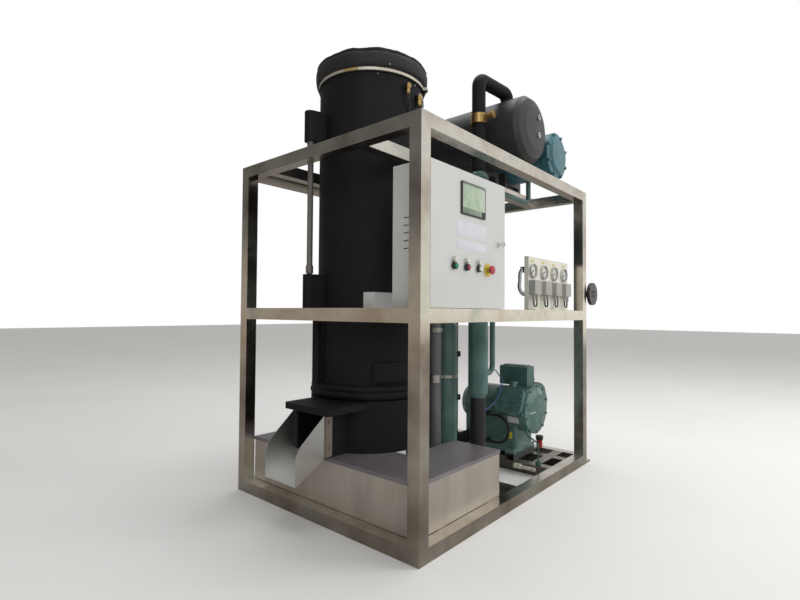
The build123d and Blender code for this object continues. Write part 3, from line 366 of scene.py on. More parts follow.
lid_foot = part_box("evaporator_lid")[0][2]
lid_rise = 0.0985
rim_wave = 0.0075
side_wave = 0.0035
fine_ripple = 0.0022
crease_depth = 0.005
crease_rise = 0.83
lid_outline = [(0, 0.030), (0.255, 0.030), (0.255, 0), (0.283, 0), (0.297, 0.002), (0.303, 0.008),
               (0.306, 0.020), (0.307, 0.040), (0.3065, 0.058), (0.305, 0.070), (0.3015, 0.078),
               (0.300, 0.082), (0.302, 0.087), (0.302, 0.0925), (0.298, 0.0965), (0.290, lid_rise),
               (0.278, lid_rise), (0.262, 0.096), (0.248, 0.092), (0.215, 0.090), (0.15, 0.0895),
               (0.07, 0.089), (0, 0.089)]
lid_foam = mottled("lid_foam", ((0.3, (0.012, 0.012, 0.013)), (0.7, (0.024, 0.024, 0.026))), 6, (0.5, 0.68),
                   bump=(0.4, 0.0014), grain=38)


def lid_waves(place):
    """Hand-cut waves of the rim, the crease under it and small dents all over."""
    away = place - evaporator_place
    turn = math.atan2(away.y, away.x)
    reach = math.hypot(away.x, away.y)
    rise = (place.z - lid_foot) / lid_rise
    if reach < 0.26 and rise < 0.5:
        return Vector((0, 0, 0))
    ring = Vector((math.cos(turn), math.sin(turn), 0))
    wave = noise.noise(ring * 2.6 + Vector((4.1, 0, 0)))
    ripple = noise.noise(ring * 9 + Vector((0, 7.3, place.z * 9)))
    rim = max(0.0, min(1.0, rise)) ** 3 * min(1.0, reach / 0.25)
    crease = math.exp(-((rise - crease_rise) / 0.05) ** 2) * max(0.0, 0.4 + noise.noise(ring * 5))
    return Vector((0, 0, rim * (rim_wave * wave + 0.002 * ripple - 0.001))) + ring * (
        side_wave * wave * rise + fine_ripple * ripple - crease_depth * crease)


lid_centre = (evaporator_place.x, evaporator_place.y, lid_foot)
lid = turned_piece("soft_lid", lid_outline, lid_centre, steps=160)
nudge(lid, lid_waves)
seat(lid, lid_foam, "machine", 60)
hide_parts("evaporator_lid")

plated = mottled("plated_metal", ((0.3, (0.55, 0.55, 0.55)), (0.7, (0.72, 0.72, 0.72))), 30, (0.16, 0.28),
                 metal=1.0, bump=(0.02, 0.0003), grain=300)

pin_outline = [(0.0045, -0.002), (0.0042, 0.0005), (0.003, 0.0022), (0.0014, 0.003), (0, 0.0032)]
pin_spots = [(238, 0.300, 2.262), (241, 0.3045, 2.209), (230, 0.2832, 2.166), (277, 0.2832, 2.163)]
for number, (angle, reach, height) in enumerate(pin_spots, start=1):
    spot = near_side(angle, reach, height)
    turn = math.radians(angle)
    pin = turned_piece(f"lid_pin_{number}", [(0, -0.002)] + pin_outline, (0, 0, 0), steps=12)
    bpy.ops.object.mode_set(mode="OBJECT")
    outward = Matrix.Rotation(turn, 4, "Z") @ Matrix.Rotation(math.pi / 2, 4, "Y")
    pin.data.transform(Matrix.Translation(spot) @ outward)
    seat(pin, plated, "machine")

# Foam wraps
# A thick foam roll in two soft turns round the foot of the shell, and a puffed pad glued over the
# hand hole above it. Both are pressed by hand, so no stretch is quite even.
roll_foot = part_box("foam_wraps")[0][2]
roll_height = 0.076
roll_outline = [(0.2835, 0.0), (0.300, 0.0), (0.310, 0.003), (0.317, 0.009), (0.3205, 0.017),
                (0.3215, 0.026), (0.3205, 0.034), (0.317, 0.040), (0.3125, 0.0445), (0.3155, 0.049),
                (0.3175, 0.055), (0.3165, 0.062), (0.312, 0.069), (0.304, 0.0745), (0.294, 0.0755),
                (0.2835, 0.074), (0.2835, 0.037), (0.2835, 0.0)]


def roll_lumps(place):
    """Dents and swells along the roll, none of them reaching the shell or the drum."""
    away = place - evaporator_place
    turn = math.atan2(away.y, away.x)
    reach = math.hypot(away.x, away.y)
    ring = Vector((math.cos(turn), math.sin(turn), 0))
    free = max(0.0, min(1.0, (reach - 0.2845) / 0.03))
    high = (place.z - roll_foot) / roll_height
    swell = noise.noise(ring * 3.1 + Vector((2.0, 1.0, high * 0.6)))
    pinch = noise.noise(ring * 11 + Vector((0, 3.0, high * 1.5)))
    lift = 0.006 * noise.noise(ring * 2.2 + Vector((9, 0, 0))) - 0.004
    rise = Vector((0, 0, lift * max(0.0, high) ** 2))
    return ring * (free * (0.004 * swell + 0.0018 * pinch - 0.003)) + rise


roll_centre = (evaporator_place.x, evaporator_place.y, roll_foot)
roll = turned_piece("foam_roll", roll_outline, roll_centre, steps=144)
nudge(roll, roll_lumps)
seat(roll, foam, "machine", 60)

pad_angle = 246
pad_half_turn = math.radians(19.5)
pad_low = 0.619
pad_high = 0.727
pad_grid = 24
bpy.ops.mesh.primitive_grid_add(x_subdivisions=pad_grid, y_subdivisions=pad_grid, size=2)
pad = open_piece("hand_hole_pad")
bpy.ops.mesh.select_all(action="SELECT")
bpy.ops.mesh.extrude_region_move(TRANSFORM_OT_translate={"value": (0, 0, 1)})
tidy_mesh()


def pad_wrap(place):
    """Wrap the flat pad on the shell: rounded corners, a raised seam all round and a soft belly."""
    corner = (abs(place.x) ** 6 + abs(place.y) ** 6) ** (1 / 6)
    pull = min(1.0, 1 / max(corner, 0.001)) if corner > 1 else 1.0
    u, v = place.x * pull, place.y * pull
    edge = 1 - max(abs(u), abs(v))
    belly = 0.0045 + 0.0125 * (1 - math.exp(-edge * 14)) - 0.004 * math.exp(-((edge - 0.17) / 0.05) ** 2)
    belly += 0.002 * noise.noise(Vector((u * 2.4, v * 2.1, 5)))
    turn = math.radians(pad_angle) + u * pad_half_turn
    reach = shell_reach + 0.0004 + (belly if place.z > 0.5 else 0)
    height = (pad_low + pad_high) / 2 + v * (pad_high - pad_low) / 2
    return evaporator_place + Vector((reach * math.cos(turn), reach * math.sin(turn), height)) - place


nudge(pad, pad_wrap)
bpy.ops.object.mode_set(mode="EDIT")
tidy_mesh()
seat(pad, foam, "machine", 60)
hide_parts("foam_wraps")

# Inner steel
# Machined stainless pieces inside the evaporator and under the drum: the tubes in which the ice
# freezes, the rotor that cuts it, and the legs that carry the drum.
inner_steel = mottled("machined_steel", ((0.3, (0.42, 0.42, 0.41)), (0.7, (0.58, 0.58, 0.56))), 8,
                      (0.28, 0.4), metal=1.0, bump=(0.05, 0.0004), grain=140)
dress(inner_steel, "cutter_rotor", "drum_legs", "ice_tube_bundle")

# Clamp band
# A bright band of thin plate, drawn tight round the head of the shell by a bolt through two ears.
# Its lower half lies in the foam's dark edge, and one stretch is tinted gold.


def inside(nodes, links, low, high):
    """A value of one within a box of Object coordinates, and nought outside it."""
    place = nodes.new("ShaderNodeTexCoord")
    split = nodes.new("ShaderNodeSeparateXYZ")
    links.new(place.outputs["Object"], split.inputs[0])
    within = None
    for index in range(3):
        test = nodes.new("ShaderNodeMath")
        test.operation = "COMPARE"
        test.inputs[1].default_value = (low[index] + high[index]) / 2
        test.inputs[2].default_value = (high[index] - low[index]) / 2
        links.new(split.outputs[index], test.inputs[0])
        if within is None:
            within = test.outputs[0]
            continue
        both = nodes.new("ShaderNodeMath")
        both.operation = "MULTIPLY"
        links.new(within, both.inputs[0])
        links.new(test.outputs[0], both.inputs[1])
        within = both.outputs[0]
    return within


def zone(material, low, high, colour, metal, rough):
    """Give one part of a finish another colour, metal share and gloss.

    A mix node has its plain values at sockets 2 and 3 and its colours at 6 and 7.
    """
    nodes = material.node_tree.nodes
    links = material.node_tree.links
    shader = nodes["Principled BSDF"]
    within = inside(nodes, links, low, high)
    for socket, value in (("Base Color", (*colour, 1)), ("Metallic", metal), ("Roughness", rough)):
        blend = nodes.new("ShaderNodeMix")
        blend.data_type = "RGBA" if socket == "Base Color" else "FLOAT"
        kind = 6 if socket == "Base Color" else 2
        links.new(within, blend.inputs[0])
        if shader.inputs[socket].links:
            links.new(shader.inputs[socket].links[0].from_socket, blend.inputs[kind])
        else:
            blend.inputs[kind].default_value = shader.inputs[socket].default_value
        blend.inputs[kind + 1].default_value = value
        links.new(blend.outputs[2 if kind == 6 else 0], shader.inputs[socket])


band_plate = mottled("bright_band", ((0.3, (0.66, 0.60, 0.48)), (0.7, (0.86, 0.83, 0.74))), 9, (0.28, 0.44),
                     metal=0.55, bump=(0.05, 0.0005), grain=120)
band_dark_top = 2.1805
zone(band_plate, (-0.75, -0.30, 2.170), (-0.05, 0.40, band_dark_top), (0.03, 0.028, 0.026), 0.3, 0.5)
zone(band_plate, (-0.72, -0.064, band_dark_top + 0.0001), (-0.65, 0.010, 2.20), (0.78, 0.56, 0.22), 0.8, 0.3)
dress(band_plate, "clamp_band")

# Level hose
# A hose in a braid of fine bright wire, pressed into plain ferrules at both ends.
# It joins the two foam-covered branches on the evaporator's chute side.
braid, nodes, links, shader = new_material("wire_braid")
place = nodes.new("ShaderNodeTexCoord")
mapping = nodes.new("ShaderNodeMapping")
level_hose_angle = 162.5
level_hose_reach = 0.355
braid_pitch = 620
braid_starts = 8
level_centre = near_side(level_hose_angle, level_hose_reach, 0)
mapping.inputs["Location"].default_value = (-level_centre.x, -level_centre.y, 0)
links.new(place.outputs["Object"], mapping.inputs["Vector"])
split = nodes.new("ShaderNodeSeparateXYZ")
links.new(mapping.outputs["Vector"], split.inputs[0])
turn = nodes.new("ShaderNodeMath")
turn.operation = "ARCTAN2"
links.new(split.outputs[1], turn.inputs[0])
links.new(split.outputs[0], turn.inputs[1])
strands = []
for lean in (-1, 1):
    climb = nodes.new("ShaderNodeMath")
    climb.operation = "MULTIPLY"
    climb.inputs[1].default_value = braid_pitch
    links.new(split.outputs[2], climb.inputs[0])
    wind = nodes.new("ShaderNodeMath")
    wind.operation = "MULTIPLY_ADD"
    wind.inputs[1].default_value = braid_starts * lean
    links.new(turn.outputs[0], wind.inputs[0])
    links.new(climb.outputs[0], wind.inputs[2])
    strand = nodes.new("ShaderNodeMath")
    strand.operation = "SINE"
    links.new(wind.outputs[0], strand.inputs[0])
    strands.append(strand.outputs[0])
weave = nodes.new("ShaderNodeMath")
weave.operation = "MULTIPLY"
links.new(strands[0], weave.inputs[0])
links.new(strands[1], weave.inputs[1])
links.new(ramp_of(nodes, links, weave.outputs[0], ((0.0, (0.16, 0.15, 0.14)), (0.5, (0.52, 0.50, 0.48)))),
          shader.inputs["Base Color"])
shader.inputs["Metallic"].default_value = 0.8
shader.inputs["Roughness"].default_value = 0.42
bump_of(nodes, links, shader, weave.outputs[0], 0.6, 0.0012)
dress(braid, "level_hose")

# Chute
# Bent satin stainless sheet, paler than the frame, with soft cloudy reflections.
# It is fixed to the duct's mouth by a flange.
chute_steel = mottled("satin_chute_steel", ((0.3, (0.78, 0.79, 0.77)), (0.7, (0.90, 0.91, 0.88))), 5,
                      (0.30, 0.42), metal=1.0, bump=(0.04, 0.0006), grain=120)
# The strip where the chute is bolted to the duct is taupe.
zone(chute_steel, (-0.85, -0.062, 0.28), (-0.79, -0.0449, 0.51), (0.34, 0.285, 0.25), 0.75, 0.42)
dress(chute_steel, "chute")

# Control cabinet
# Sheet steel with a fine pale grey powder coat, on the shell and on the hinged door alike.
# The terminal box beside it and the plain switchgear inside have the same finish.
cabinet_paint = mottled("cabinet_powder_coat", ((0.3, (0.56, 0.57, 0.56)), (0.7, (0.61, 0.62, 0.61))), 4,
                        (0.42, 0.52), bump=(0.16, 0.0004), grain=900)
dress(cabinet_paint, "cabinet_shell", "cabinet_door", "terminal_box", "switchgear")

# Door fittings
# Plated lock and key, black button barrels with silver lamps, coloured caps, a yellow stop plate,
# a framed touch screen and two bare label sheets, all fixed to the door's front.
dress(plated, "door_key", "sight_glasses")
door_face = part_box("cabinet_shell")[0][1] - 0.0185
barrel_black = mottled("barrel_black", ((0.3, (0.012, 0.012, 0.013)), (0.7, (0.03, 0.03, 0.032))), 40,
                       (0.3, 0.4), bump=(0.03, 0.0002), grain=400)
dress(barrel_black, "touch_screen")
barrel_finish = mottled("barrel_and_lamp", ((0.3, (0.012, 0.012, 0.013)), (0.7, (0.03, 0.03, 0.032))), 40,
                        (0.3, 0.4), bump=(0.03, 0.0002), grain=400)
# The lamps over the buttons are silver, and the emergency stop's plate is yellow.
zone(barrel_finish, (-0.70, -0.66, 1.1848), (-0.43, -0.60, 1.23), (0.70, 0.69, 0.62), 0.85, 0.24)
zone(barrel_finish, (-0.415, -0.6352, 1.13), (-0.34, -0.60, 1.21), (0.62, 0.46, 0.05), 0.0, 0.42)
zone(barrel_finish, (-0.415, -0.66, 1.13), (-0.34, -0.6353, 1.21), (0.42, 0.33, 0.05), 0.0, 0.42)
dress(barrel_finish, "button_barrels")
for name, deep, bright in (
        ("start_button", (0.008, 0.17, 0.12), (0.015, 0.25, 0.18)),
        ("stop_button", (0.20, 0.012, 0.03), (0.32, 0.03, 0.06)),
        ("reset_button", (0.62, 0.62, 0.62), (0.78, 0.78, 0.78)),
        ("emergency_stop", (0.40, 0.03, 0.05), (0.54, 0.06, 0.08))):
    cap = mottled(name + "_plastic", ((0.3, deep), (0.7, bright)), 60, (0.24, 0.36), bump=(0.03, 0.0002),
                  grain=300, coat=0.2)
    dress(cap, name)


def boxed_piece(name, low, high, edge, rows=2):
    """A block between two corners, with its edges eased."""
    middle = [(a + b) / 2 for a, b in zip(low, high)]
    bpy.ops.mesh.primitive_cube_add(size=1, location=middle)
    bpy.context.object.scale = [b - a for a, b in zip(low, high)]
    piece = open_piece(name)
    bpy.ops.mesh.select_all(action="SELECT")
    bpy.ops.mesh.bevel(offset=edge, segments=rows, affect="EDGES")
    return piece


screen_low, screen_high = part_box("touch_screen")
screen_front = screen_low[1]
screen_green = mottled("screen_picture", ((0.3, (0.30, 0.40, 0.28)), (0.7, (0.46, 0.56, 0.43))), 22,
                       (0.10, 0.16), bump=(0.01, 0.0002), grain=300, coat=0.6)
screen_strip = mottled("screen_strip", ((0.3, (0.13, 0.18, 0.13)), (0.7, (0.19, 0.25, 0.18))), 22,
                       (0.12, 0.2), bump=(0.01, 0.0002), grain=300, coat=0.6)
glass_left = screen_low[0] + 0.009
glass_right = screen_high[0] - 0.007
strip_top = screen_low[2] + 0.031
glass = boxed_piece("screen_glass", (glass_left, screen_front - 0.0008, strip_top),
                    (glass_right, screen_front + 0.001, screen_high[2] - 0.012), 0.0004)
seat(glass, screen_green, "door")
top_strip = boxed_piece("screen_top_strip", (glass_left, screen_front - 0.0007, screen_high[2] - 0.0118),
                        (glass_right, screen_front + 0.001, screen_high[2] - 0.004), 0.0003)
seat(top_strip, screen_strip, "door")
low_strip = boxed_piece("screen_low_strip", (glass_left, screen_front - 0.0007, screen_low[2] + 0.007),
                        (glass_right - 0.028, screen_front + 0.001, strip_top - 0.0003), 0.0003)
seat(low_strip, screen_strip, "door")

sheet_white = mottled("label_sheet", ((0.3, (0.60, 0.60, 0.66)), (0.7, (0.66, 0.66, 0.71))), 14, (0.3, 0.42),
                      bump=(0.04, 0.0003), grain=160, coat=0.1)
sheet_left = -0.632
sheet_right = -0.391
for number, (low_z, high_z) in enumerate(((1.300, 1.369), (1.246, 1.285)), start=1):
    sheet = boxed_piece(f"label_sheet_{number}", (sheet_left, door_face - 0.0006, low_z),
                        (sheet_right, door_face + 0.0004, high_z), 0.0002)
    seat(sheet, sheet_white, "door")

lens_white = mottled("lamp_lens", ((0.3, (0.74, 0.72, 0.58)), (0.7, (0.86, 0.84, 0.72))), 60, (0.14, 0.22),
                     bump=(0.02, 0.0002), grain=200, coat=0.5)
lens_outline = [(0.0085, 0.0004), (0.0085, -0.0006), (0.0072, -0.0019), (0.0045, -0.0029), (0, -0.0034)]
lamp_height = 1.198
lamp_front = door_face - 0.015
for number, x in enumerate((-0.655, -0.560, -0.461), start=1):
    lens = turned_piece(f"lamp_lens_{number}", lens_outline, (x, lamp_front, lamp_height), (0, 1, 0), 24)
    seat(lens, lens_white, "door")

# Machine enamel
# Semi-gloss enamel, sprayed over castings, pipes and vessels: dark green for most of them, blue-green
# for the condenser and greys for the pipes, stands and drives. Straps and joints are bare and bright.
green_enamel = mottled("green_enamel", ((0.3, (0.046, 0.115, 0.104)), (0.7, (0.090, 0.180, 0.164))), 9,
                       (0.26, 0.40), bump=(0.10, 0.0010), grain=70, coat=0.35)
dress(green_enamel, "slim_vessel", "compressor_wiring_box", "hot_gas_pipes")
casting_enamel = mottled("casting_enamel", ((0.3, (0.066, 0.140, 0.128)), (0.7, (0.122, 0.216, 0.198))), 14,
                         (0.20, 0.36), bump=(0.45, 0.0022), grain=46, coat=0.45)
dress(casting_enamel, "compressor_housing", "compressor_end_cover", "cylinder_heads")
blue_enamel = mottled("condenser_enamel", ((0.3, (0.024, 0.105, 0.132)), (0.7, (0.058, 0.180, 0.216))), 7,
                      (0.34, 0.46), bump=(0.10, 0.0010), grain=70, coat=0.2)
dress(blue_enamel, "condenser_shell", "condenser_covers")
grey_enamel = mottled("grey_enamel", ((0.3, (0.055, 0.057, 0.062)), (0.7, (0.085, 0.087, 0.094))), 7,
                      (0.4, 0.55), bump=(0.08, 0.0008), grain=80)
dress(grey_enamel, "vessel_saddles", "compressor_rails", "gear_motor", "water_pump")
stand_grey = mottled("stand_pipe_grey", ((0.3, (0.016, 0.017, 0.019)), (0.7, (0.030, 0.031, 0.034))), 7,
                     (0.4, 0.55), bump=(0.08, 0.0008), grain=80)
dress(stand_grey, "stand_pipe")
riser_grey = mottled("riser_grey", ((0.3, (0.110, 0.112, 0.118)), (0.7, (0.155, 0.157, 0.163))), 7,
                     (0.4, 0.55), bump=(0.08, 0.0008), grain=80)
zone(riser_grey, (-0.40, -0.40, 0.600), (0.05, 0.0, 0.640), (0.66, 0.65, 0.62), 0.9, 0.28)
zone(riser_grey, (-0.40, -0.40, 0.868), (0.05, 0.0, 0.892), (0.58, 0.57, 0.54), 0.9, 0.30)
dress(riser_grey, "water_riser")
receiver_green = mottled("receiver_green", ((0.3, (0.074, 0.155, 0.142)), (0.7, (0.135, 0.235, 0.218))), 9,
                         (0.32, 0.46), bump=(0.10, 0.0010), grain=70, coat=0.25)
plug_reach = 0.018
for plug_z in (0.500, 0.742):
    zone(receiver_green, (-0.064, -0.290, plug_z - plug_reach), (0.0, -0.236, plug_z + plug_reach),
         (0.012, 0.012, 0.013), 0.0, 0.4)
dress(receiver_green, "liquid_receiver")

# Service lines
# Black oil hose and capillary loops, a thin green drain pipe and a red drain valve with its cap.
# The loops hang under the pressure switches, and the rest is at the compressor and the base.
line_finish = mottled("service_line_black", ((0.3, (0.010, 0.010, 0.011)), (0.7, (0.022, 0.022, 0.024))), 20,
                      (0.38, 0.5), bump=(0.05, 0.0004), grain=200)
zone(line_finish, (0.40, -0.54, 0.05), (0.48, -0.41, 0.34), (0.045, 0.135, 0.115), 0.0, 0.4)
zone(line_finish, (0.80, -0.36, 0.05), (0.90, -0.28, 0.106), (0.42, 0.035, 0.025), 0.0, 0.36)
dress(line_finish, "service_lines")

# Brass
# Turned brass fittings, a little dull, screwed into the evaporator's head and the suction arch.
brass = mottled("dull_brass", ((0.3, (0.42, 0.27, 0.10)), (0.7, (0.66, 0.46, 0.19))), 30, (0.24, 0.4),
                metal=1.0, bump=(0.04, 0.0004), grain=200)
dress(brass, "brass_fittings")

# Temperature probes
# Two brass probe bodies hang from bright clips under the lid, each with a black cable that is pressed
# against the foam. The second one carries a pale wire as well.
probe_body = [(0, -0.046), (0.007, -0.046), (0.0095, -0.043), (0.0105, -0.036), (0.0105, -0.020),
              (0.0125, -0.018), (0.0125, -0.010), (0.009, -0.008), (0.008, -0.002), (0, -0.002)]


def wire_piece(name, places, radius):
    """A round wire bent through the places."""
    bpy.ops.curve.primitive_bezier_curve_add(location=(0, 0, 0))
    wire = bpy.context.object
    wire.name = name
    spline = wire.data.splines[0]
    spline.bezier_points.add(len(places) - 2)
    for knot, place in zip(spline.bezier_points, places):
        knot.handle_left_type = "AUTO"
        knot.handle_right_type = "AUTO"
        knot.co = place
    wire.data.bevel_depth = radius
    wire.data.bevel_resolution = 3
    wire.data.use_fill_caps = True
    wire.data.resolution_u = 10
    bpy.ops.object.convert(target="MESH")
    wire = bpy.context.object
    wire.data.name = name
    bpy.ops.object.mode_set(mode="EDIT")
    tidy_mesh()
    return wire


cable_black = mottled("cable_black", ((0.3, (0.010, 0.010, 0.011)), (0.7, (0.024, 0.024, 0.026))), 30,
                      (0.36, 0.5), bump=(0.04, 0.0003), grain=240)
cable_pale = mottled("cable_pale", ((0.3, (0.40, 0.47, 0.52)), (0.7, (0.54, 0.61, 0.66))), 30, (0.34, 0.46),
                     bump=(0.04, 0.0003), grain=240)
probe_spots = ((262, 2.134, 1.0), (280, 2.112, 1.3))
for number, (angle, height, bulk) in enumerate(probe_spots, start=1):
    turn = math.radians(angle)
    clip = boxed_piece(f"probe_clip_{number}", (-0.006, -0.012, -0.006), (0.022, 0.012, 0.006), 0.002)
    bpy.ops.object.mode_set(mode="OBJECT")
    seat_place = Matrix.Translation(near_side(angle, 0.286, height))
    clip.data.transform(seat_place @ Matrix.Rotation(turn, 4, "Z"))
    seat(clip, plated, "machine")
    outline = [(reach * bulk, rise * bulk) for reach, rise in probe_body]
    body = turned_piece(f"probe_body_{number}", outline, near_side(angle, 0.300, height), steps=24)
    seat(body, brass, "machine")
    foot = height - 0.044 * bulk
    lead = wire_piece(f"probe_cable_{number}", [
        near_side(angle, 0.300, foot), near_side(angle + 1, 0.300, foot - 0.030),
        near_side(angle + 4, 0.291, foot - 0.080), near_side(angle + 5, 0.2865, foot - 0.150)], 0.0042)
    seat(lead, cable_black, "machine")
wire = wire_piece("probe_pale_wire", [
    near_side(280, 0.312, 2.104), near_side(283, 0.316, 2.075), near_side(285, 0.304, 2.030),
    near_side(286, 0.2875, 1.960)], 0.0026)
seat(wire, cable_pale, "machine")

# Compressor fittings
# A bare nameplate, a yellow tag and a thin white strip on the end cover's rim, a painted highlight, laid on
# their curved faces, a blue hose from the gas pipe to the stand pipe, and a drain pipe with its union by the
# base bearer.


def laid_plate(name, node, toward, wide, high, thick=0.0012):
    """A thin plate laid on the face of a node that the camera sees beyond or at a place."""
    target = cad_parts[node]
    sight = (Vector(toward) - camera_place).normalized()
    found, spot, out, _ = target.ray_cast(camera_place, sight)
    if not found:
        raise RuntimeError(name + " finds no face")
    up = (Vector((0, 0, 1)) - out * out.z).normalized()
    turn = Matrix((up.cross(out), up, out)).transposed().to_euler()
    bpy.ops.mesh.primitive_grid_add(x_subdivisions=8, y_subdivisions=8, size=1, location=spot, rotation=turn)
    bpy.context.object.scale = (wide, high, 1)
    plate = open_piece(name)
    bpy.ops.object.mode_set(mode="OBJECT")
    wrap = plate.modifiers.new("wrap", "SHRINKWRAP")
    wrap.target = target
    wrap.wrap_mode = "ABOVE_SURFACE"
    wrap.offset = thick * 0.8
    depth = plate.modifiers.new("depth", "SOLIDIFY")
    depth.thickness = thick
    return plate


plate_white = mottled("plate_white", ((0.3, (0.52, 0.53, 0.52)), (0.7, (0.66, 0.67, 0.66))), 40, (0.3, 0.4),
                      bump=(0.04, 0.0003), grain=200)
tag_yellow = mottled("tag_yellow", ((0.3, (0.60, 0.54, 0.04)), (0.7, (0.72, 0.66, 0.08))), 60, (0.35, 0.45),
                     bump=(0.04, 0.0003), grain=200)
hose_blue = mottled("hose_blue", ((0.3, (0.012, 0.045, 0.17)), (0.7, (0.025, 0.075, 0.26))), 30, (0.3, 0.42),
                    bump=(0.03, 0.0003), grain=240, coat=0.2)
union_cream = mottled("union_cream", ((0.3, (0.56, 0.55, 0.45)), (0.7, (0.70, 0.69, 0.58))), 40, (0.34, 0.46),
                      bump=(0.05, 0.0004), grain=160)
nameplate = laid_plate("bare_nameplate", "compressor_housing", (0.400, -0.354, 0.315), 0.072, 0.044)
seat(nameplate, plate_white, "machine")
tag = laid_plate("yellow_tag", "compressor_housing", (0.430, -0.318, 0.212), 0.030, 0.042)
seat(tag, tag_yellow, "machine")
# Painted highlight: a thin white strip laid along the end cover's rim where the light glints.
highlight_strip = laid_plate("painted_highlight_strip", "compressor_end_cover", (0.479, -0.448, 0.359), 0.072, 0.005, 0.0006)
seat(highlight_strip, plate_white, "machine")
hose = wire_piece("blue_hose", [
    (0.090, -0.390, 0.655), (0.112, -0.392, 0.650), (0.140, -0.400, 0.622), (0.175, -0.402, 0.584),
    (0.159, -0.402, 0.542), (0.122, -0.400, 0.484), (0.061, -0.398, 0.456), (0.010, -0.393, 0.439),
    (-0.026, -0.391, 0.428)], 0.0032)
seat(hose, hose_blue, "machine")
union_outline = [(0, 0), (0.011, 0), (0.011, 0.088), (0.015, 0.089), (0.0165, 0.092), (0.0165, 0.106),
                 (0.015, 0.109), (0.0125, 0.110), (0.0125, 0.117), (0.0155, 0.118), (0.0165, 0.121),
                 (0.0165, 0.134), (0.0145, 0.138), (0, 0.138)]
drain = turned_piece("drain_union", union_outline, (0.398, -0.500, 0.042), (0, 1, 0), 32)
seat(drain, union_cream, "machine")

# Gauge panel
# A cream plate, folded at its sides, with four round gauges and four pressure switches.
# Each gauge has a chromed ring, a white dial with plain black marks and a small yellow plate over it.
panel_paint = mottled("panel_cream", ((0.3, (0.68, 0.67, 0.58)), (0.7, (0.74, 0.73, 0.65))), 8, (0.4, 0.5),
                      bump=(0.08, 0.0004), grain=500)
switch_paint = mottled("switch_grey", ((0.3, (0.33, 0.32, 0.30)), (0.7, (0.40, 0.39, 0.37))), 14,
                       (0.42, 0.55), bump=(0.05, 0.0004), grain=300)
dress(panel_paint, "gauge_panel")
dress(switch_paint, "pressure_switches")
dress(barrel_black, "gauge_cases", "gauge_needle_1", "gauge_needle_2", "gauge_needle_3", "gauge_needle_4")
dial_white = mottled("dial_white", ((0.3, (0.72, 0.72, 0.69)), (0.7, (0.80, 0.80, 0.77))), 30, (0.35, 0.45),
                     bump=(0.02, 0.0002), grain=300, coat=0.3)
mark_black = mottled("mark_black", ((0.3, (0.010, 0.010, 0.010)), (0.7, (0.02, 0.02, 0.02))), 60, (0.4, 0.5),
                     bump=(0.02, 0.0001), grain=400)
plate_yellow = mottled("plate_yellow", ((0.3, (0.60, 0.47, 0.10)), (0.7, (0.70, 0.57, 0.16))), 40,
                       (0.35, 0.45), bump=(0.03, 0.0002), grain=300)
panel_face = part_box("gauge_needle_1")[0][1] + 0.0072
dial_face = panel_face - 0.004
gauge_height = 1.210
first_gauge = 0.205
gauge_pitch = 0.143
ring_outline = [(0.0345, -0.0045), (0.0345, -0.0128), (0.0352, -0.0142), (0.0368, -0.0149),
                (0.0388, -0.0146), (0.0401, -0.0132), (0.0405, -0.0110), (0.0405, -0.0012),
                (0.0396, -0.0004), (0.0345, -0.0045)]
dial_outline = [(0, 0.0005), (0.0346, 0.0005), (0.0346, -0.0001), (0.0338, -0.0004), (0, -0.0004)]
tick_count = 27
tick_sweep = math.radians(270)
scale_start = math.radians(-135)
dial_numbers = ("0", "5", "10", "15", "20")
number_reach = 0.0205
number_size = 0.0062
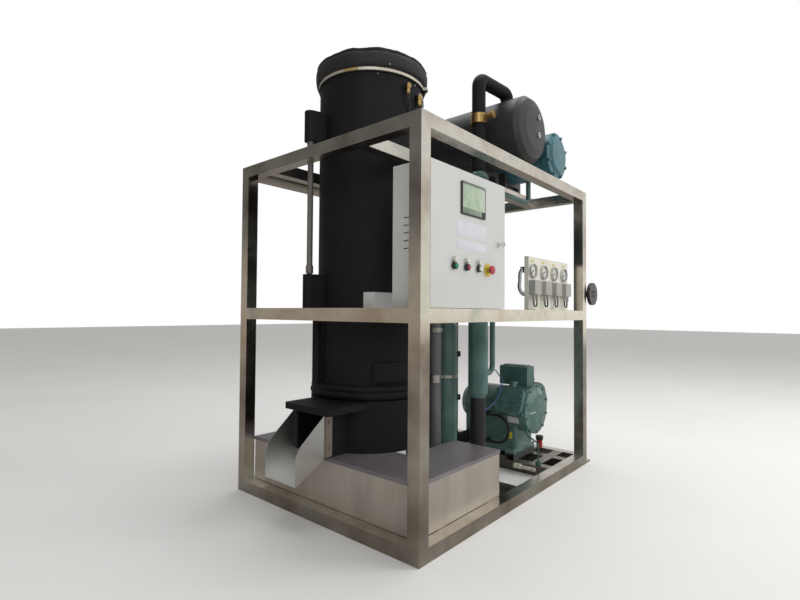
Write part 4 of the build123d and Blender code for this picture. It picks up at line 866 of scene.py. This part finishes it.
for number in range(4):
    x = first_gauge + gauge_pitch * number
    centre = (x, panel_face, gauge_height)
    ring = turned_piece(f"gauge_ring_{number + 1}", ring_outline, centre, (0, 1, 0), 64)
    seat(ring, plated, "machine")
    centre = (x, dial_face, gauge_height)
    dial = turned_piece(f"gauge_dial_{number + 1}", dial_outline, centre, (0, 1, 0), 48)
    seat(dial, dial_white, "machine")
    marks = []
    for reach, long, wide, steps in ((0.0295, 0.0045, 0.0007, tick_count), (0.0285, 0.0070, 0.0012, 4)):
        spot = (x + reach * math.sin(scale_start), dial_face - 0.0005,
                gauge_height + reach * math.cos(scale_start))
        bpy.ops.mesh.primitive_cube_add(size=1, location=spot, rotation=(0, scale_start, 0))
        bpy.context.object.scale = (wide, 0.0004, long)
        tick = open_piece("tick")
        bpy.ops.mesh.select_all(action="SELECT")
        bpy.ops.mesh.spin(steps=steps, dupli=True, angle=tick_sweep, center=(x, 0, gauge_height),
                          axis=(0, 1, 0))
        bpy.ops.object.mode_set(mode="OBJECT")
        marks.append(tick)
    for place, figure in enumerate(dial_numbers):
        turn = scale_start + tick_sweep * place / (len(dial_numbers) - 1)
        spot = (x + number_reach * math.sin(turn), dial_face - 0.0004,
                gauge_height + number_reach * math.cos(turn) - 0.0022)
        bpy.ops.object.text_add(location=spot, rotation=(math.pi / 2, 0, 0))
        text = bpy.context.object
        text.data.body = figure
        text.data.size = number_size
        text.data.align_x = "CENTER"
        text.data.extrude = 0.0002
        bpy.ops.object.convert(target="MESH")
        bpy.ops.object.transform_apply(location=True, rotation=True, scale=True)
        marks.append(bpy.context.object)
    bpy.ops.object.select_all(action="DESELECT")
    for mark in marks:
        mark.select_set(True)
    bpy.context.view_layer.objects.active = marks[0]
    bpy.ops.object.join()
    marks[0].name = f"gauge_marks_{number + 1}"
    seat(marks[0], mark_black, "machine")
    plate = boxed_piece(f"gauge_plate_{number + 1}", (x - 0.020, panel_face - 0.0008, gauge_height + 0.051),
                        (x + 0.016, panel_face + 0.0004, gauge_height + 0.062), 0.0003)
    seat(plate, plate_yellow, "machine")

# Panel cables
# A pale and a black plastic cable, bent by hand behind the panel's left edge.
# They come out of a black gland and go back in lower down.
gland = boxed_piece("panel_gland", (0.150, -0.548, 1.212), (0.166, -0.528, 1.232), 0.003)
seat(gland, cable_black, "machine")
panel_cable = wire_piece("panel_cable_pale", [
    (0.158, -0.538, 1.222), (0.149, -0.530, 1.200), (0.146, -0.528, 1.150), (0.140, -0.528, 1.120),
    (0.152, -0.535, 1.090), (0.172, -0.546, 1.082)], 0.0095)
seat(panel_cable, cable_pale, "machine")
panel_cable = wire_piece("panel_cable_black", [
    (0.156, -0.538, 1.226), (0.137, -0.530, 1.200), (0.134, -0.528, 1.140), (0.130, -0.528, 1.115),
    (0.150, -0.535, 1.080), (0.172, -0.546, 1.070)], 0.0034)
seat(panel_cable, cable_black, "machine")

# Water connection
# Black plastic round flange on a stub outside the far post.
dress(barrel_black, "water_connection")
